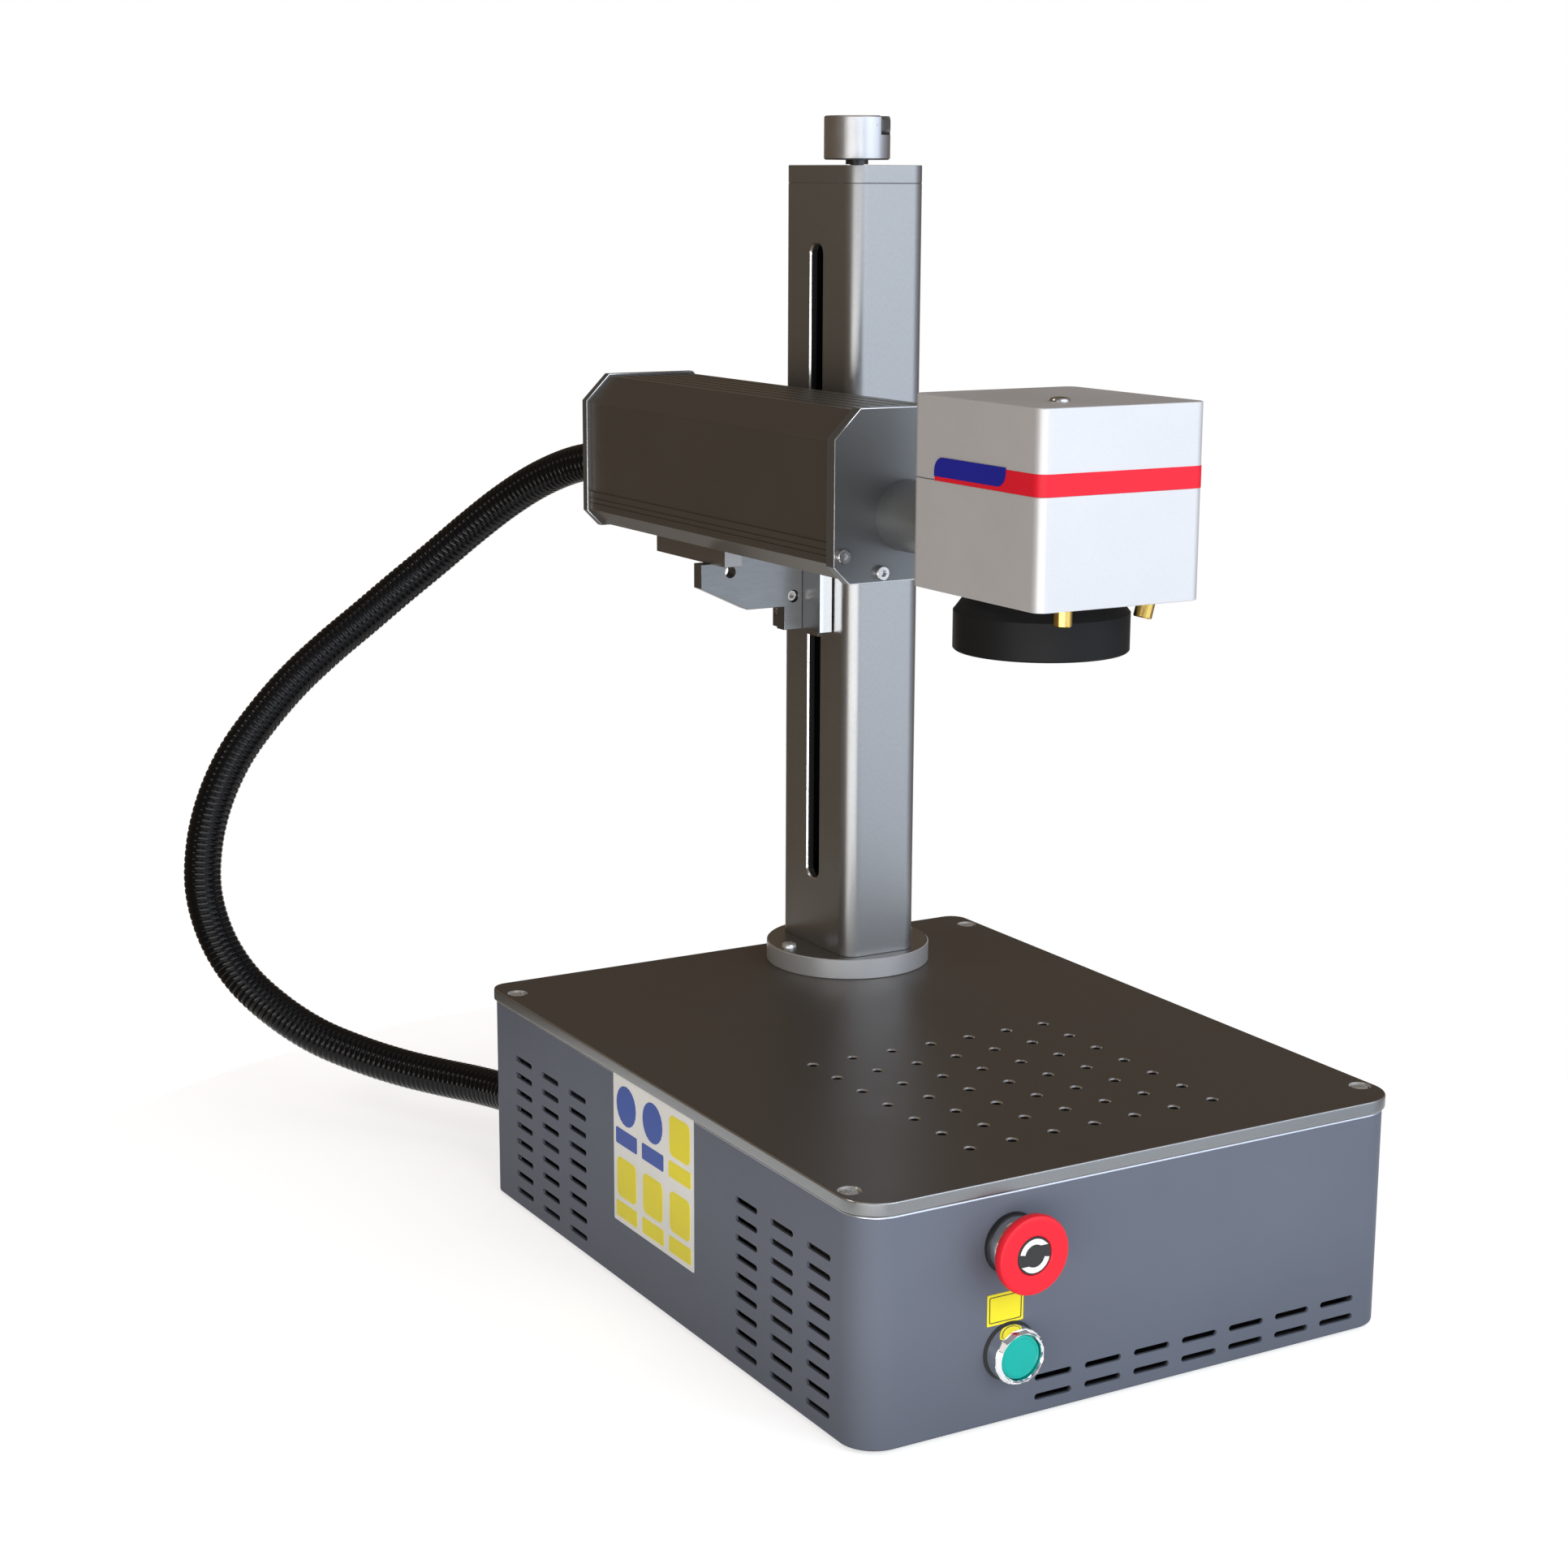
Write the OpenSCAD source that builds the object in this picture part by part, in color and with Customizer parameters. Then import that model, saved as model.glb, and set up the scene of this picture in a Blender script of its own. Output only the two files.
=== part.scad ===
// Bench laser marking machine: cabinet, lift column, beam head and scan head.
// Millimetres. X to the right, Y to the back, Z up, zero on the floor at the middle of the cabinet.

/* [Cabinet] */
// Width of the cabinet
case_w = 326; // [316:1:350]
// Depth of the cabinet
case_d = 413; // [405:1:440]
// Height of the cabinet walls
case_h = 118; // [116:1:130]
// Thickness of the cabinet sheet
case_t = 1.5; // [1.2:0.1:2]
// Outside radius of the cabinet's two front corners
case_r = 19; // [14:0.5:22]
// Outside radius of the cabinet's two rear corners
case_back_r = 9; // [6:0.5:12]
// Height of the pads under the cabinet
foot_h = 2; // [1.5:0.5:3]

/* [Table] */
// Thickness of the table plate
table_t = 7; // [6:0.5:10]
// Overhang of the table plate past the cabinet
table_over = 1.5; // [0.5:0.5:3]
// Distance between neighbouring fixture holes
grid_pitch = 25; // [22:0.5:27]
// Number of fixture holes along each side
grid_n = 7; // [5, 7]
// Tapping bore of the fixture holes
tap_d = 5; // [4.2:0.1:5.5]
// Distance of the hole grid's middle in front of the cabinet's middle
grid_front = 89; // [86:1:92]

/* [Column] */
// Width of the column
col_w = 50; // [48:0.5:53]
// Depth of the column
col_d = 79; // [76:0.5:83]
// Length of the column tube
col_h = 448; // [430:1:470]
// Wall of the column tube
col_wall = 4.5; // [3.5:0.1:5]
// Outside radius of the column's corners
col_r = 14; // [9:0.5:15]
// Width of the slot in the column
slot_w = 13.4; // [13:0.1:15]
// Height of the slot's lower end above the flange
slot_low = 41; // [36:1:45]
// Length of the slot
slot_len = 373; // [360:1:376]
// Diameter of the column's foot flange
flange_d = 98; // [96:1:102]
// Thickness of the foot flange
flange_t = 12; // [10:0.5:14]
// Thickness of the cap on the column
cap_t = 10; // [8:0.5:12]

/* [Lift drive] */
// Diameter of the lead screw
screw_d = 12; // [10:0.5:13]
// Diameter of the guide rods
rod_d = 10; // [8:0.5:11]
// Diameter of the hand knob
knob_d = 38; // [36:0.5:42]
// Height of the hand knob
knob_h = 24.5; // [22:0.5:28]
// Height of the carriage
carriage_h = 50; // [44:1:52]
// Height of the carriage above the flange, as photographed
carriage_z = 188; // [184:1:192]

/* [Beam housing] */
// Width of the beam housing's end plates
hous_w = 88; // [86:0.5:88.5]
// Length of the beam housing over its end plates
hous_l = 293; // [280:1:300]
// Height of the beam axis above the floor
beam_z = 418; // [417:0.5:419]
// Height of the end plates above the beam axis
hous_up = 56.5; // [54:0.5:58]
// Thickness of the front end plate
front_plate_t = 8; // [6:0.5:9]
// Thickness of the rear end plate
rear_plate_t = 6; // [5:0.5:8]
// Outside diameter of the beam tube
tube_d = 37.5; // [35:0.5:39]
// Length of the beam tube between housing and scan head
tube_l = 78; // [72:1:82]

/* [Scan head] */
// Width of the scan head
galvo_w = 95; // [92:0.5:100]
// Length of the scan head
galvo_l = 108.5; // [106:0.5:112]
// Height of the lower scan head half
galvo_low_h = 53.5; // [52:0.5:56]
// Height of the scan head's cover
galvo_cover_h = 40.5; // [38:0.5:44]
// Outside diameter of the lens
lens_d = 86.4; // [82:0.2:88]
// Height of the lens below the scan head
lens_h = 28.8; // [26:0.2:32]

/* [Controls] */
// Diameter of the stop button's head
stop_d = 40; // [36:0.5:42]
// Travel of the stop button
stop_travel = 4; // [3:0.5:4]
// Diameter of the start button's bezel
start_d = 28; // [26:0.5:30]
// Travel of the start button
start_travel = 2.5; // [1.5:0.5:2.5]

/* [Vents] */
// Length of a vent slot
vent_l = 22; // [18:0.5:24]
// Height of a vent slot
vent_h = 3.3; // [2.5:0.1:4]
// Number of vent rows on the side
vent_rows = 9; // [7:1:9]

/* [Hose] */
// Outside diameter of the ribbed hose
hose_d = 23.5; // [20:0.5:25]
// Number of ribs on the hose
hose_ribs = 200; // [120:10:200]

/* [Hidden] */
$fn = 64;

// Overrun of every cut
cut = 1;
// Gap of a turning or sliding fit, and of a piece seated in its hole
run_gap = 0.05;
// Clearance between a moving piece and a fixed one
free_gap = 1;
// Small gap between two moving pieces that nearly touch
near_gap = 0.3;
// Width of a screw's hexagon socket as a share of the screw
socket_share = 0.7;
// Thickness of stuck-on film
film_t = 0.3;

// Cabinet levels
z_case = foot_h;
z_table = foot_h + case_h;
z_top = z_table + table_t;
case_in_w = case_w - 2 * case_t;
front_y = -case_d / 2;
back_y = case_d / 2;
pan_lip_h = 15;
foot_d = 30;
foot_in = 40;
foot_hole_d = 4.5;
screw_in_x = 6.5;
screw_in_y = 22;
post_d = 9;
post_x = case_w / 2 - screw_in_x;
post_y = case_d / 2 - screw_in_y;
table_screw_d = 5;
table_head_d = 9.6;
table_head_h = 2.6;
table_screw_l = 16;
hole_sink = 0.6;

// Column place and levels
col_x = 50.5;
col_y = 156.5;
z_flange = z_top + flange_t;
z_col = z_flange + col_h;
z_cap = z_col + cap_t;
col_left = col_x - col_w / 2;
flange_screw_d = 6;
flange_head_d = 10;
flange_head_h = 3;
flange_screw_r = 41;
foot_block_h = 16;
spigot_h = 12;
bolt_d = 6;
bolt_x = 11;
bolt_y = 29;
bolt_head_d = 10;
bolt_head_h = 6;
inner_w = col_w - 2 * col_wall;
inner_d = col_d - 2 * col_wall;
inner_r = col_r - col_wall;

// Lift drive
drive_shift = 1.5;
drive_x = col_x + drive_shift;
rod_y = 20;
bearing_d = 22;
bearing_h = 7;
relief_d = 16;
journal_d = 8;
collar_d = 13;
collar_hole_d = 14;
knob_gap = 3;
collar_gap = 0.5;
z_knob = z_cap + knob_gap;
z_knob_top = z_knob + knob_h;
nut_d = 24;
nut_flange_d = 28;
nut_flange_h = 6;
z_carriage = z_flange + carriage_z;
carriage_side = 1;
carriage_w = inner_w - 2 * carriage_side;
carriage_end = 8;
carriage_d = inner_d - 2 * carriage_end;
neck_w = 12;
plate_t = 8;
plate_gap = 1;
plate_w = 43;
plate_right = col_left - plate_gap;
plate_left = plate_right - plate_t;

// Crank lever folded into the knob
crank_turn = -50;
crank_w = 16;
crank_h = 10;
crank_reach = 27;
crank_pin_d = 4;
crank_pin_l = 24;
crank_pin_r = knob_d / 2 - crank_h / 2 - near_gap;
crank_pin_z = z_knob_top - crank_h / 2 - near_gap;
crank_hole_d = 7;
// Reach of the lever's lower far edge as it swings up about its pin
crank_swing = sqrt(crank_reach * crank_reach + crank_h * crank_h / 4);

// Beam housing
beam_x = -20;
hous_front = -13;
hous_back = hous_front + hous_l;
hous_low = 34.3;
hous_chamfer_up = 15.4;
hous_chamfer_low = 9.5;
hous_inset = 1.5;
hous_wall = 3;
groove_w = 1.6;
groove_h = 1;
groove_pitch = 9.5;
panel_step = 1;
panel_low = -13;
band_line = 0.6;
band_lines = [4, 7];
chamfer_share = 0.4;
end_screw_d = 4;
end_head_d = 7.6;
end_head_h = 3;
end_screw_out = [39, -19.2];
end_screw_in = [15.4, -29.2];
rail_w = 11;
rail_h = 10;
rail_l = 83;
rail_x = -45;
rail_y = 137.5;
z_hous = beam_z - hous_low;
z_seat = z_hous + hous_inset;
tube_bore = 24;
collimator_d = 30;
collimator_l = 150;
collimator_bore = 12;
collimator_gap = 1;
collimator_foot_in = 12;

// Bracket arm
arm_t = 9;
arm_shift = 1.5;
arm_y = col_y - arm_shift;
arm_left = -50.7;
arm_step_x = 4.4;
arm_flat_x = -20.3;
arm_side_drop = 24;
arm_flat_drop = 38.2;
arm_low_drop = 52;
arm_side_z = z_hous - arm_side_drop;
arm_flat_z = z_hous - arm_flat_drop;
arm_low_z = z_hous - arm_low_drop;
arm_hole_d = 7;
arm_free_x = -31.6;
arm_free_drop = 15.5;
arm_bolt_x = 10.4;
arm_bolt_drop = 32.3;
arm_bolt_d = 4;
arm_bolt_head_d = 7.4;
arm_bolt_head_h = 4;
arm_bolt_sink = 2;
clamp_w = 9.5;
clamp_d = 9;
clamp_h = 38;
clamp_screw_d = 7;
clamp_screw_h = 3;
clamp_screw_up = 10;

// Scan head
galvo_back = hous_front - tube_l;
galvo_front = galvo_back - galvo_l;
galvo_drop = 23.5;
z_galvo = beam_z - galvo_drop;
z_seam = z_galvo + galvo_low_h;
z_galvo_top = z_seam + galvo_cover_h;
galvo_r = 6;
galvo_wall = 6;
galvo_floor = 10;
cover_wall = 3;
stripe_h = 10.5;
stripe_in = 21;
stripe_back = galvo_back - stripe_in;
badge_l = 60;
badge_h = 8.5;
cover_screw_x = -36;
cover_screw_back = 78;
cover_head_d = 10;
cover_head_h = 2;
cover_screw_l = 8;
lens_in = 45;
lens_y = galvo_back - lens_in;
lens_neck_d = 76;
lens_cone_h = 6;
lens_neck_h = 3.2;
lens_thread_d = 60;
lens_wall = 6;
lens_lip = 2;
glass_t = 6;
glass_in = 3;
motor_d = 20;
motor_l = 36;
shaft_d = 5;
mirror_off = 12;
mirror_l = 14;
mirror_w = 10;
mirror_t = 2;
mirror_stem = 8;
mirror_turn = 45;
bracket_t = 10;
pointer_d = 9;
pointer_l = 20;
pointer_out = 8.5;
pointer_bore = 3;
pointer_tilt = 15;
pointer_left_x = -46;
pointer_left_in = 10;
pointer_right_x = 4;
pointer_right_in = 12;

// Controls on the front
control_in = 84;
control_x = -case_w / 2 + control_in;
stop_drop = 26.5;
stop_z = z_table - stop_drop;
// Height of the start button as a share of the cabinet's height
start_share = 0.3093;
start_z = z_case + start_share * case_h;
stop_ring_d = 31;
stop_ring_h = 2.5;
stop_collar_d = 29;
stop_collar_h = 4.5;
stop_hole_d = 22.4;
stop_barrel_d = 22;
stop_barrel_l = 22;
stop_block_w = 30;
stop_block_l = 26;
stop_head_t = 7.5;
stop_reach = 12.3;
stop_stem_d = 14;
stop_mark_d = 20;
stop_mark_t = 0.6;
start_h = 11.5;
start_floor = 1;
start_bevel = 1;
start_in_d = 23;
start_cap_d = 22.4;
start_inset = 1.6;
start_rest = 0.4;
start_cap_t = start_h - start_inset - start_floor - start_travel - start_rest;
start_flats = 12;
label_w = 91;
label_y = 2.7;
label_up = 34.5;
label_top_room = 0.5;
label_h = case_h - label_up - label_top_room;
label_z = z_case + label_up;
// The sticker fills a share of the room between the start button and the stop button
sticker_room = stop_z - stop_ring_d / 2 - start_z - start_d / 2;
sticker_low_share = 0.02;
sticker_h_share = 0.627;
sticker_w = 21;
sticker_h = sticker_room * sticker_h_share;
sticker_shift = 2.8;
sticker_x = control_x - sticker_shift;
sticker_z = start_z + start_d / 2 + sticker_room * sticker_low_share;

// Vents
side_pitch = 35;
row_pitch = 10;
side_row_up = 10;
side_row_z = z_case + side_row_up;
side_group_back = 128.5;
side_group_front = -132.5;
// The front row starts beside the controls and has as many slots as fit before the right corner
front_bridge = 8;
front_pitch = vent_l + front_bridge;
front_vent_in = 26.7;
front_x = control_x + front_vent_in;
front_end_room = 24;
front_run = case_w / 2 - front_end_room - front_x + vent_l / 2;
front_n = floor((front_run + front_bridge) / front_pitch);
front_row_up = 8.4;
front_row_z = z_case + front_row_up;

// Electronics
// The laser source stands on the left and the supply on the right of an aisle for the wiring
source_side_room = 21.5;
supply_side_room = 27;
aisle_w = 55.5;
units_w = case_in_w - source_side_room - supply_side_room - aisle_w;
source_share = 0.548;
source_w = units_w * source_share;
source_l = 220;
source_h = 76;
source_x = -case_in_w / 2 + source_side_room + source_w / 2;
source_y = 10;
source_fins = 12;
fin_h = 15;
supply_w = units_w - source_w;
supply_l = 160;
supply_h = 42;
supply_x = case_in_w / 2 - supply_side_room - supply_w / 2;
supply_y = -70;
board_less = 9;
board_w = supply_w - board_less;
board_side_room = 31.5;
board_l = 120;
board_t = 1.6;
board_x = case_in_w / 2 - board_side_room - board_w / 2;
board_y = 90;
board_z = 8;
stud_d = 6;
// The fan is as large as the rear wall allows, and its bore, tips, hub and guard are shares of it
fan_top_room = 20;
fan_low_room = 18;
fan_w = case_h - fan_top_room - fan_low_room;
fan_t = 25;
fan_x = 60;
fan_z = z_case + fan_low_room + fan_w / 2;
fan_bore_share = 0.95;
fan_bore = fan_w * fan_bore_share;
fan_hub_share = 0.4;
fan_hub_d = fan_w * fan_hub_share;
fan_blade_t = 2;
fan_blades = 7;
fan_tip_share = 0.9;
fan_tip_d = fan_w * fan_tip_share;
fan_rotor_t = 20;
fan_blade_turn = 35;
fan_corner_in = 4.25;
fan_screw = fan_w - 2 * fan_corner_in;
fan_screw_d = 4.2;
fan_screw_l = 12;
fan_head_d = 8;
guard_wire = 1.8;
guard_ring_shares = [0.175, 0.3, 0.425];
inlet_x = -50;
inlet_up = 80;
inlet_z = z_case + inlet_up;
inlet_w = 48;
inlet_h = 28;
inlet_t = 3;
inlet_l = 24;
plug_w = 21;
plug_h = 18;
plug_deep = 15;
plug_in = 4;
rocker_w = 13;
rocker_d = 18;
rocker_t = 5;
rocker_in = 4;
usb_x = -50;
usb_up = 42;
usb_z = z_case + usb_up;
usb_w = 28;
usb_h = 18;
usb_t = 2;
usb_l = 16;
usb_hole = 8.5;
usb_edge = 5;

// Hose and its glands
gland_d = 30;
gland_l = 18;
gland_nut_l = 8;
gland_dome_d = 27;
gland_thread_d = 20;
gland_inside_l = 14;
case_gland_in = 37;
case_gland_x = -case_w / 2 + case_gland_in;
case_gland_z = 40;
valley = 0.7;
hose_wall = 3;
hose_sides = 8;
hose_fine = 8;
hose_start = [beam_x, hous_back + gland_l, beam_z];
hose_end = [case_gland_x, back_y + gland_l, case_gland_z];
hose_route = [hose_start, hose_start + [-3, 30.5, -1],
  [-32, 356.5, 412], [-44.5, 382, 401], [-59, 404, 385.5], [-76, 421.5, 367], [-95.5, 434, 347.5],
  [-118.5, 441, 328.5], [-142.5, 444, 310], [-167, 444.5, 292.5], [-191.5, 443.5, 273.5],
  [-213.5, 442, 252.5], [-233, 441.5, 229], [-247.5, 441, 202], [-256, 440.5, 173],
  [-258.5, 438, 143], [-253, 431.5, 113.5], [-241.5, 419, 88.5], [-225, 402, 69], [-207, 382, 55],
  [-188, 359.5, 46.5], [-170, 335.5, 41.5], [-153.5, 310.5, 39.5], [-139, 283.5, 39.5],
  hose_end + [-3, 30.5, 0], hose_end];

// Plain rounded rectangle
module round_rect(w, d, r) {
  square([w - 2 * r, d], center = true);
  square([w, d - 2 * r], center = true);
  for (x = [-1, 1])
    for (y = [-1, 1])
      translate([x * (w / 2 - r), y * (d / 2 - r)]) circle(r);
}

// Plan of the cabinet, its edge moved out by grow
module case_plan(grow) {
  front_r = case_r + grow;
  back_r = case_back_r + grow;
  half_w = case_w / 2 + grow;
  half_d = case_d / 2 + grow;
  square([2 * (half_w - front_r), 2 * half_d], center = true);
  translate([-half_w, front_r - half_d]) square([2 * half_w, 2 * half_d - front_r - back_r]);
  translate([back_r - half_w, 0]) square([2 * (half_w - back_r), half_d]);
  for (x = [-1, 1]) {
    translate([x * (half_w - front_r), front_r - half_d]) circle(front_r);
    translate([x * (half_w - back_r), half_d - back_r]) circle(back_r);
  }
}

// Cylinder lying along Y, from y0 towards the back
module y_rod(d, l) {
  rotate([-90, 0, 0]) cylinder(d = d, h = l);
}

// Cylinder lying along X, towards the right
module x_rod(d, l) {
  rotate([0, 90, 0]) cylinder(d = d, h = l);
}

// Slot with round ends that lies along X and cuts along Y
module slot_x(l, h, deep) {
  for (x = [-1, 1])
    translate([x * (l - h) / 2, 0, 0]) y_rod(h, deep);
  translate([-(l - h) / 2, 0, -h / 2]) cube([l - h, deep, h]);
}

// Slot with round ends that lies along Y and cuts along X
module slot_y(l, h, deep) {
  for (y = [-1, 1])
    translate([0, y * (l - h) / 2, 0]) x_rod(h, deep);
  translate([0, -(l - h) / 2, -h / 2]) cube([deep, l - h, h]);
}

module side_vents(group_y) {
  for (c = [-1, 0, 1])
    for (r = [0 : vent_rows - 1])
      translate([-case_w / 2 - cut, group_y + c * side_pitch, side_row_z + r * row_pitch])
        slot_y(vent_l, vent_h, case_t + 2 * cut);
}

module fan_screw_spots() {
  for (x = [-1, 1])
    for (z = [-1, 1])
      translate([fan_x + x * fan_screw / 2, 0, fan_z + z * fan_screw / 2]) children();
}

module foot_spots() {
  for (x = [-1, 1])
    for (y = [-1, 1])
      translate([x * (case_w / 2 - foot_in), y * (case_d / 2 - foot_in), 0]) children();
}

module front_vents() {
  for (c = [0 : front_n - 1])
    for (r = [0, 1])
      translate([front_x + c * front_pitch, front_y - cut, front_row_z + r * row_pitch])
        slot_x(vent_l, vent_h, case_t + 2 * cut);
}

module cabinet_shell() {
  color([0.33, 0.35, 0.4])
    difference() {
      translate([0, 0, z_case]) linear_extrude(case_h) difference() {
        case_plan(0);
        case_plan(-case_t);
      }
      side_vents(side_group_back);
      side_vents(side_group_front);
      mirror([1, 0, 0]) side_vents(side_group_back);
      mirror([1, 0, 0]) side_vents(side_group_front);
      front_vents();
      translate([control_x, front_y - cut, stop_z]) y_rod(stop_hole_d, case_t + 2 * cut);
      translate([control_x, front_y - cut, start_z]) y_rod(stop_hole_d, case_t + 2 * cut);
      translate([case_gland_x, back_y - case_t - cut, case_gland_z])
        y_rod(gland_thread_d + 2 * run_gap, case_t + 2 * cut);
      translate([fan_x, back_y - case_t - cut, fan_z]) y_rod(fan_bore, case_t + 2 * cut);
      fan_screw_spots() translate([0, back_y - case_t - cut, 0])
        y_rod(fan_screw_d + 2 * run_gap, case_t + 2 * cut);
      translate([inlet_x - inlet_w / 2 + inlet_t, back_y - case_t - cut, inlet_z - inlet_h / 2 + inlet_t])
        cube([inlet_w - 2 * inlet_t, case_t + 2 * cut, inlet_h - 2 * inlet_t]);
      translate([usb_x - usb_w / 2 + usb_t, back_y - case_t - cut, usb_z - usb_h / 2 + usb_t])
        cube([usb_w - 2 * usb_t, case_t + 2 * cut, usb_h - 2 * usb_t]);
    }
}

module bottom_pan() {
  pan_in = case_t + run_gap;
  color([0.3, 0.31, 0.34])
    difference() {
      translate([0, 0, z_case]) linear_extrude(pan_lip_h) case_plan(-pan_in);
      translate([0, 0, z_case + case_t]) linear_extrude(pan_lip_h) case_plan(-pan_in - case_t);
      translate([0, 0, case_t / 2]) front_vents();
      translate([0, pan_in, 0]) front_vents();
      for (m = [0, 1])
        mirror([m, 0, 0])
          for (g = [side_group_back, side_group_front])
            translate([pan_in, 0, 0]) side_vents(g);
      for (x = [-1, 1])
        for (y = [-1, 1])
          translate([x * post_x, y * post_y, z_case + case_t])
            cylinder(d = post_d + 2 * run_gap, h = case_h);
      foot_spots() translate([0, 0, z_case - cut]) cylinder(d = foot_hole_d, h = case_t + 2 * cut);
    }
}

module foot_pads() {
  color([0.08, 0.08, 0.08])
    foot_spots() difference() {
      cylinder(d = foot_d, h = foot_h);
      translate([0, 0, -cut]) cylinder(d = foot_hole_d, h = foot_h + 2 * cut);
    }
}

module corner_posts() {
  color([0.6, 0.6, 0.62])
    for (x = [-1, 1])
      for (y = [-1, 1])
        translate([x * post_x, y * post_y, z_case + case_t]) difference() {
          cylinder(d = post_d, h = case_h - case_t);
          translate([0, 0, case_h - case_t - table_screw_l])
            cylinder(d = table_screw_d + 2 * run_gap, h = table_screw_l + cut);
        }
}

module grid_holes() {
  half = (grid_n - 1) / 2 * grid_pitch;
  for (i = [0 : grid_n - 1])
    for (j = [0 : grid_n - 1])
      translate([i * grid_pitch - half, j * grid_pitch - half - grid_front, z_table - cut]) {
        cylinder(d = tap_d, h = table_t + 2 * cut, $fn = 32);
        translate([0, 0, table_t + cut - hole_sink])
          cylinder(d = tap_d + 2 * hole_sink, h = cut + hole_sink, $fn = 32);
      }
}

module table_plate() {
  color([0.16, 0.15, 0.15])
    difference() {
      translate([0, 0, z_table]) linear_extrude(table_t) case_plan(table_over);
      grid_holes();
      for (x = [-1, 1])
        for (y = [-1, 1])
          translate([x * post_x, y * post_y, z_table - cut]) {
            cylinder(d = table_screw_d + 2 * run_gap, h = table_t + 2 * cut);
            translate([0, 0, table_t + cut - table_head_h - run_gap])
              cylinder(d = table_head_d + 2 * near_gap, h = table_head_h + cut + run_gap);
          }
      for (x = [-1, 1])
        translate([col_x + x * flange_screw_r, col_y, z_table - cut])
          cylinder(d = flange_screw_d + 2 * run_gap, h = table_t + 2 * cut);
      for (x = [-1, 1])
        for (y = [-1, 1])
          translate([col_x + x * bolt_x, col_y + y * bolt_y, z_table - cut]) {
            cylinder(d = bolt_d + 2 * run_gap, h = table_t + 2 * cut);
          }
    }
}

// Round-headed screw pointing down, its head standing on z = 0
module down_screw(d, l, head_d, head_h) {
  difference() {
    union() {
      translate([0, 0, -l]) cylinder(d = d, h = l + head_h / 2);
      cylinder(d = head_d, h = head_h);
    }
    translate([0, 0, head_h / 2]) cylinder(d = d * socket_share, h = head_h, $fn = 6);
  }
}

module table_screws() {
  color([0.7, 0.7, 0.72])
    for (x = [-1, 1])
      for (y = [-1, 1])
        translate([x * post_x, y * post_y, z_top - table_head_h])
          down_screw(table_screw_d, table_screw_l, table_head_d, table_head_h);
  color([0.75, 0.75, 0.78])
    for (x = [-1, 1])
      translate([col_x + x * flange_screw_r, col_y, z_flange])
        down_screw(flange_screw_d, flange_t + table_t, flange_head_d, flange_head_h);
}

module column_flange() {
  color([0.5, 0.51, 0.53])
    difference() {
      translate([col_x, col_y, z_top]) cylinder(d = flange_d, h = flange_t);
      for (x = [-1, 1])
        translate([col_x + x * flange_screw_r, col_y, z_top - cut])
          cylinder(d = flange_screw_d + 2 * run_gap, h = flange_t + 2 * cut);
      for (x = [-1, 1])
        for (y = [-1, 1])
          translate([col_x + x * bolt_x, col_y + y * bolt_y, z_top - cut])
            cylinder(d = bolt_d + 2 * run_gap, h = flange_t + 2 * cut);
    }
}

module column_tube() {
  color([0.55, 0.57, 0.6])
    difference() {
      translate([col_x, col_y, z_flange]) linear_extrude(col_h) difference() {
        round_rect(col_w, col_d, col_r);
        round_rect(inner_w, inner_d, inner_r);
      }
      translate([col_left - cut, col_y, z_flange + slot_low]) {
        for (z = [slot_w / 2, slot_len - slot_w / 2])
          translate([0, 0, z]) x_rod(slot_w, col_wall + 2 * cut);
        translate([0, -slot_w / 2, slot_w / 2]) cube([col_wall + 2 * cut, slot_w, slot_len - slot_w]);
      }
    }
}

// Holes for the two guide rods
module rod_holes(h) {
  for (y = [-1, 1])
    translate([drive_x, col_y + y * rod_y, 0]) cylinder(d = rod_d + 2 * run_gap, h = h);
}

module column_foot_block() {
  color([0.4, 0.41, 0.43])
    difference() {
      translate([col_x, col_y, z_flange]) linear_extrude(foot_block_h)
        round_rect(inner_w - 2 * run_gap, inner_d - 2 * run_gap, inner_r - run_gap);
      translate([0, 0, z_flange + foot_block_h / 2]) rod_holes(foot_block_h);
      translate([drive_x, col_y, z_flange + foot_block_h - bearing_h])
        cylinder(d = bearing_d + 2 * run_gap, h = bearing_h + cut);
      translate([drive_x, col_y, z_flange + run_gap]) cylinder(d = relief_d, h = foot_block_h);
      for (x = [-1, 1])
        for (y = [-1, 1])
          translate([col_x + x * bolt_x, col_y + y * bolt_y, z_flange - cut])
            cylinder(d = bolt_d + 2 * run_gap, h = foot_block_h / 2 + 2 * cut);
    }
}

module column_bolts() {
  color([0.25, 0.25, 0.27])
    for (x = [-1, 1])
      for (y = [-1, 1])
        translate([col_x + x * bolt_x, col_y + y * bolt_y, z_table]) {
          cylinder(d = bolt_d, h = table_t + flange_t + foot_block_h / 2);
          translate([0, 0, -bolt_head_h]) cylinder(d = bolt_head_d, h = bolt_head_h);
        }
}

module column_cap() {
  color([0.58, 0.6, 0.63])
    difference() {
      union() {
        translate([col_x, col_y, z_col]) linear_extrude(cap_t) round_rect(col_w, col_d, col_r);
        translate([col_x, col_y, z_col - spigot_h]) linear_extrude(spigot_h + cut)
          round_rect(inner_w - 2 * run_gap, inner_d - 2 * run_gap, inner_r - run_gap);
      }
      translate([0, 0, z_col - spigot_h - cut]) rod_holes(spigot_h + cut);
      translate([drive_x, col_y, z_col - spigot_h - cut])
        cylinder(d = bearing_d + 2 * run_gap, h = bearing_h + cut);
      translate([drive_x, col_y, z_col - spigot_h - cut])
        cylinder(d = collar_hole_d, h = spigot_h + cap_t + 2 * cut);
    }
}

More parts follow.
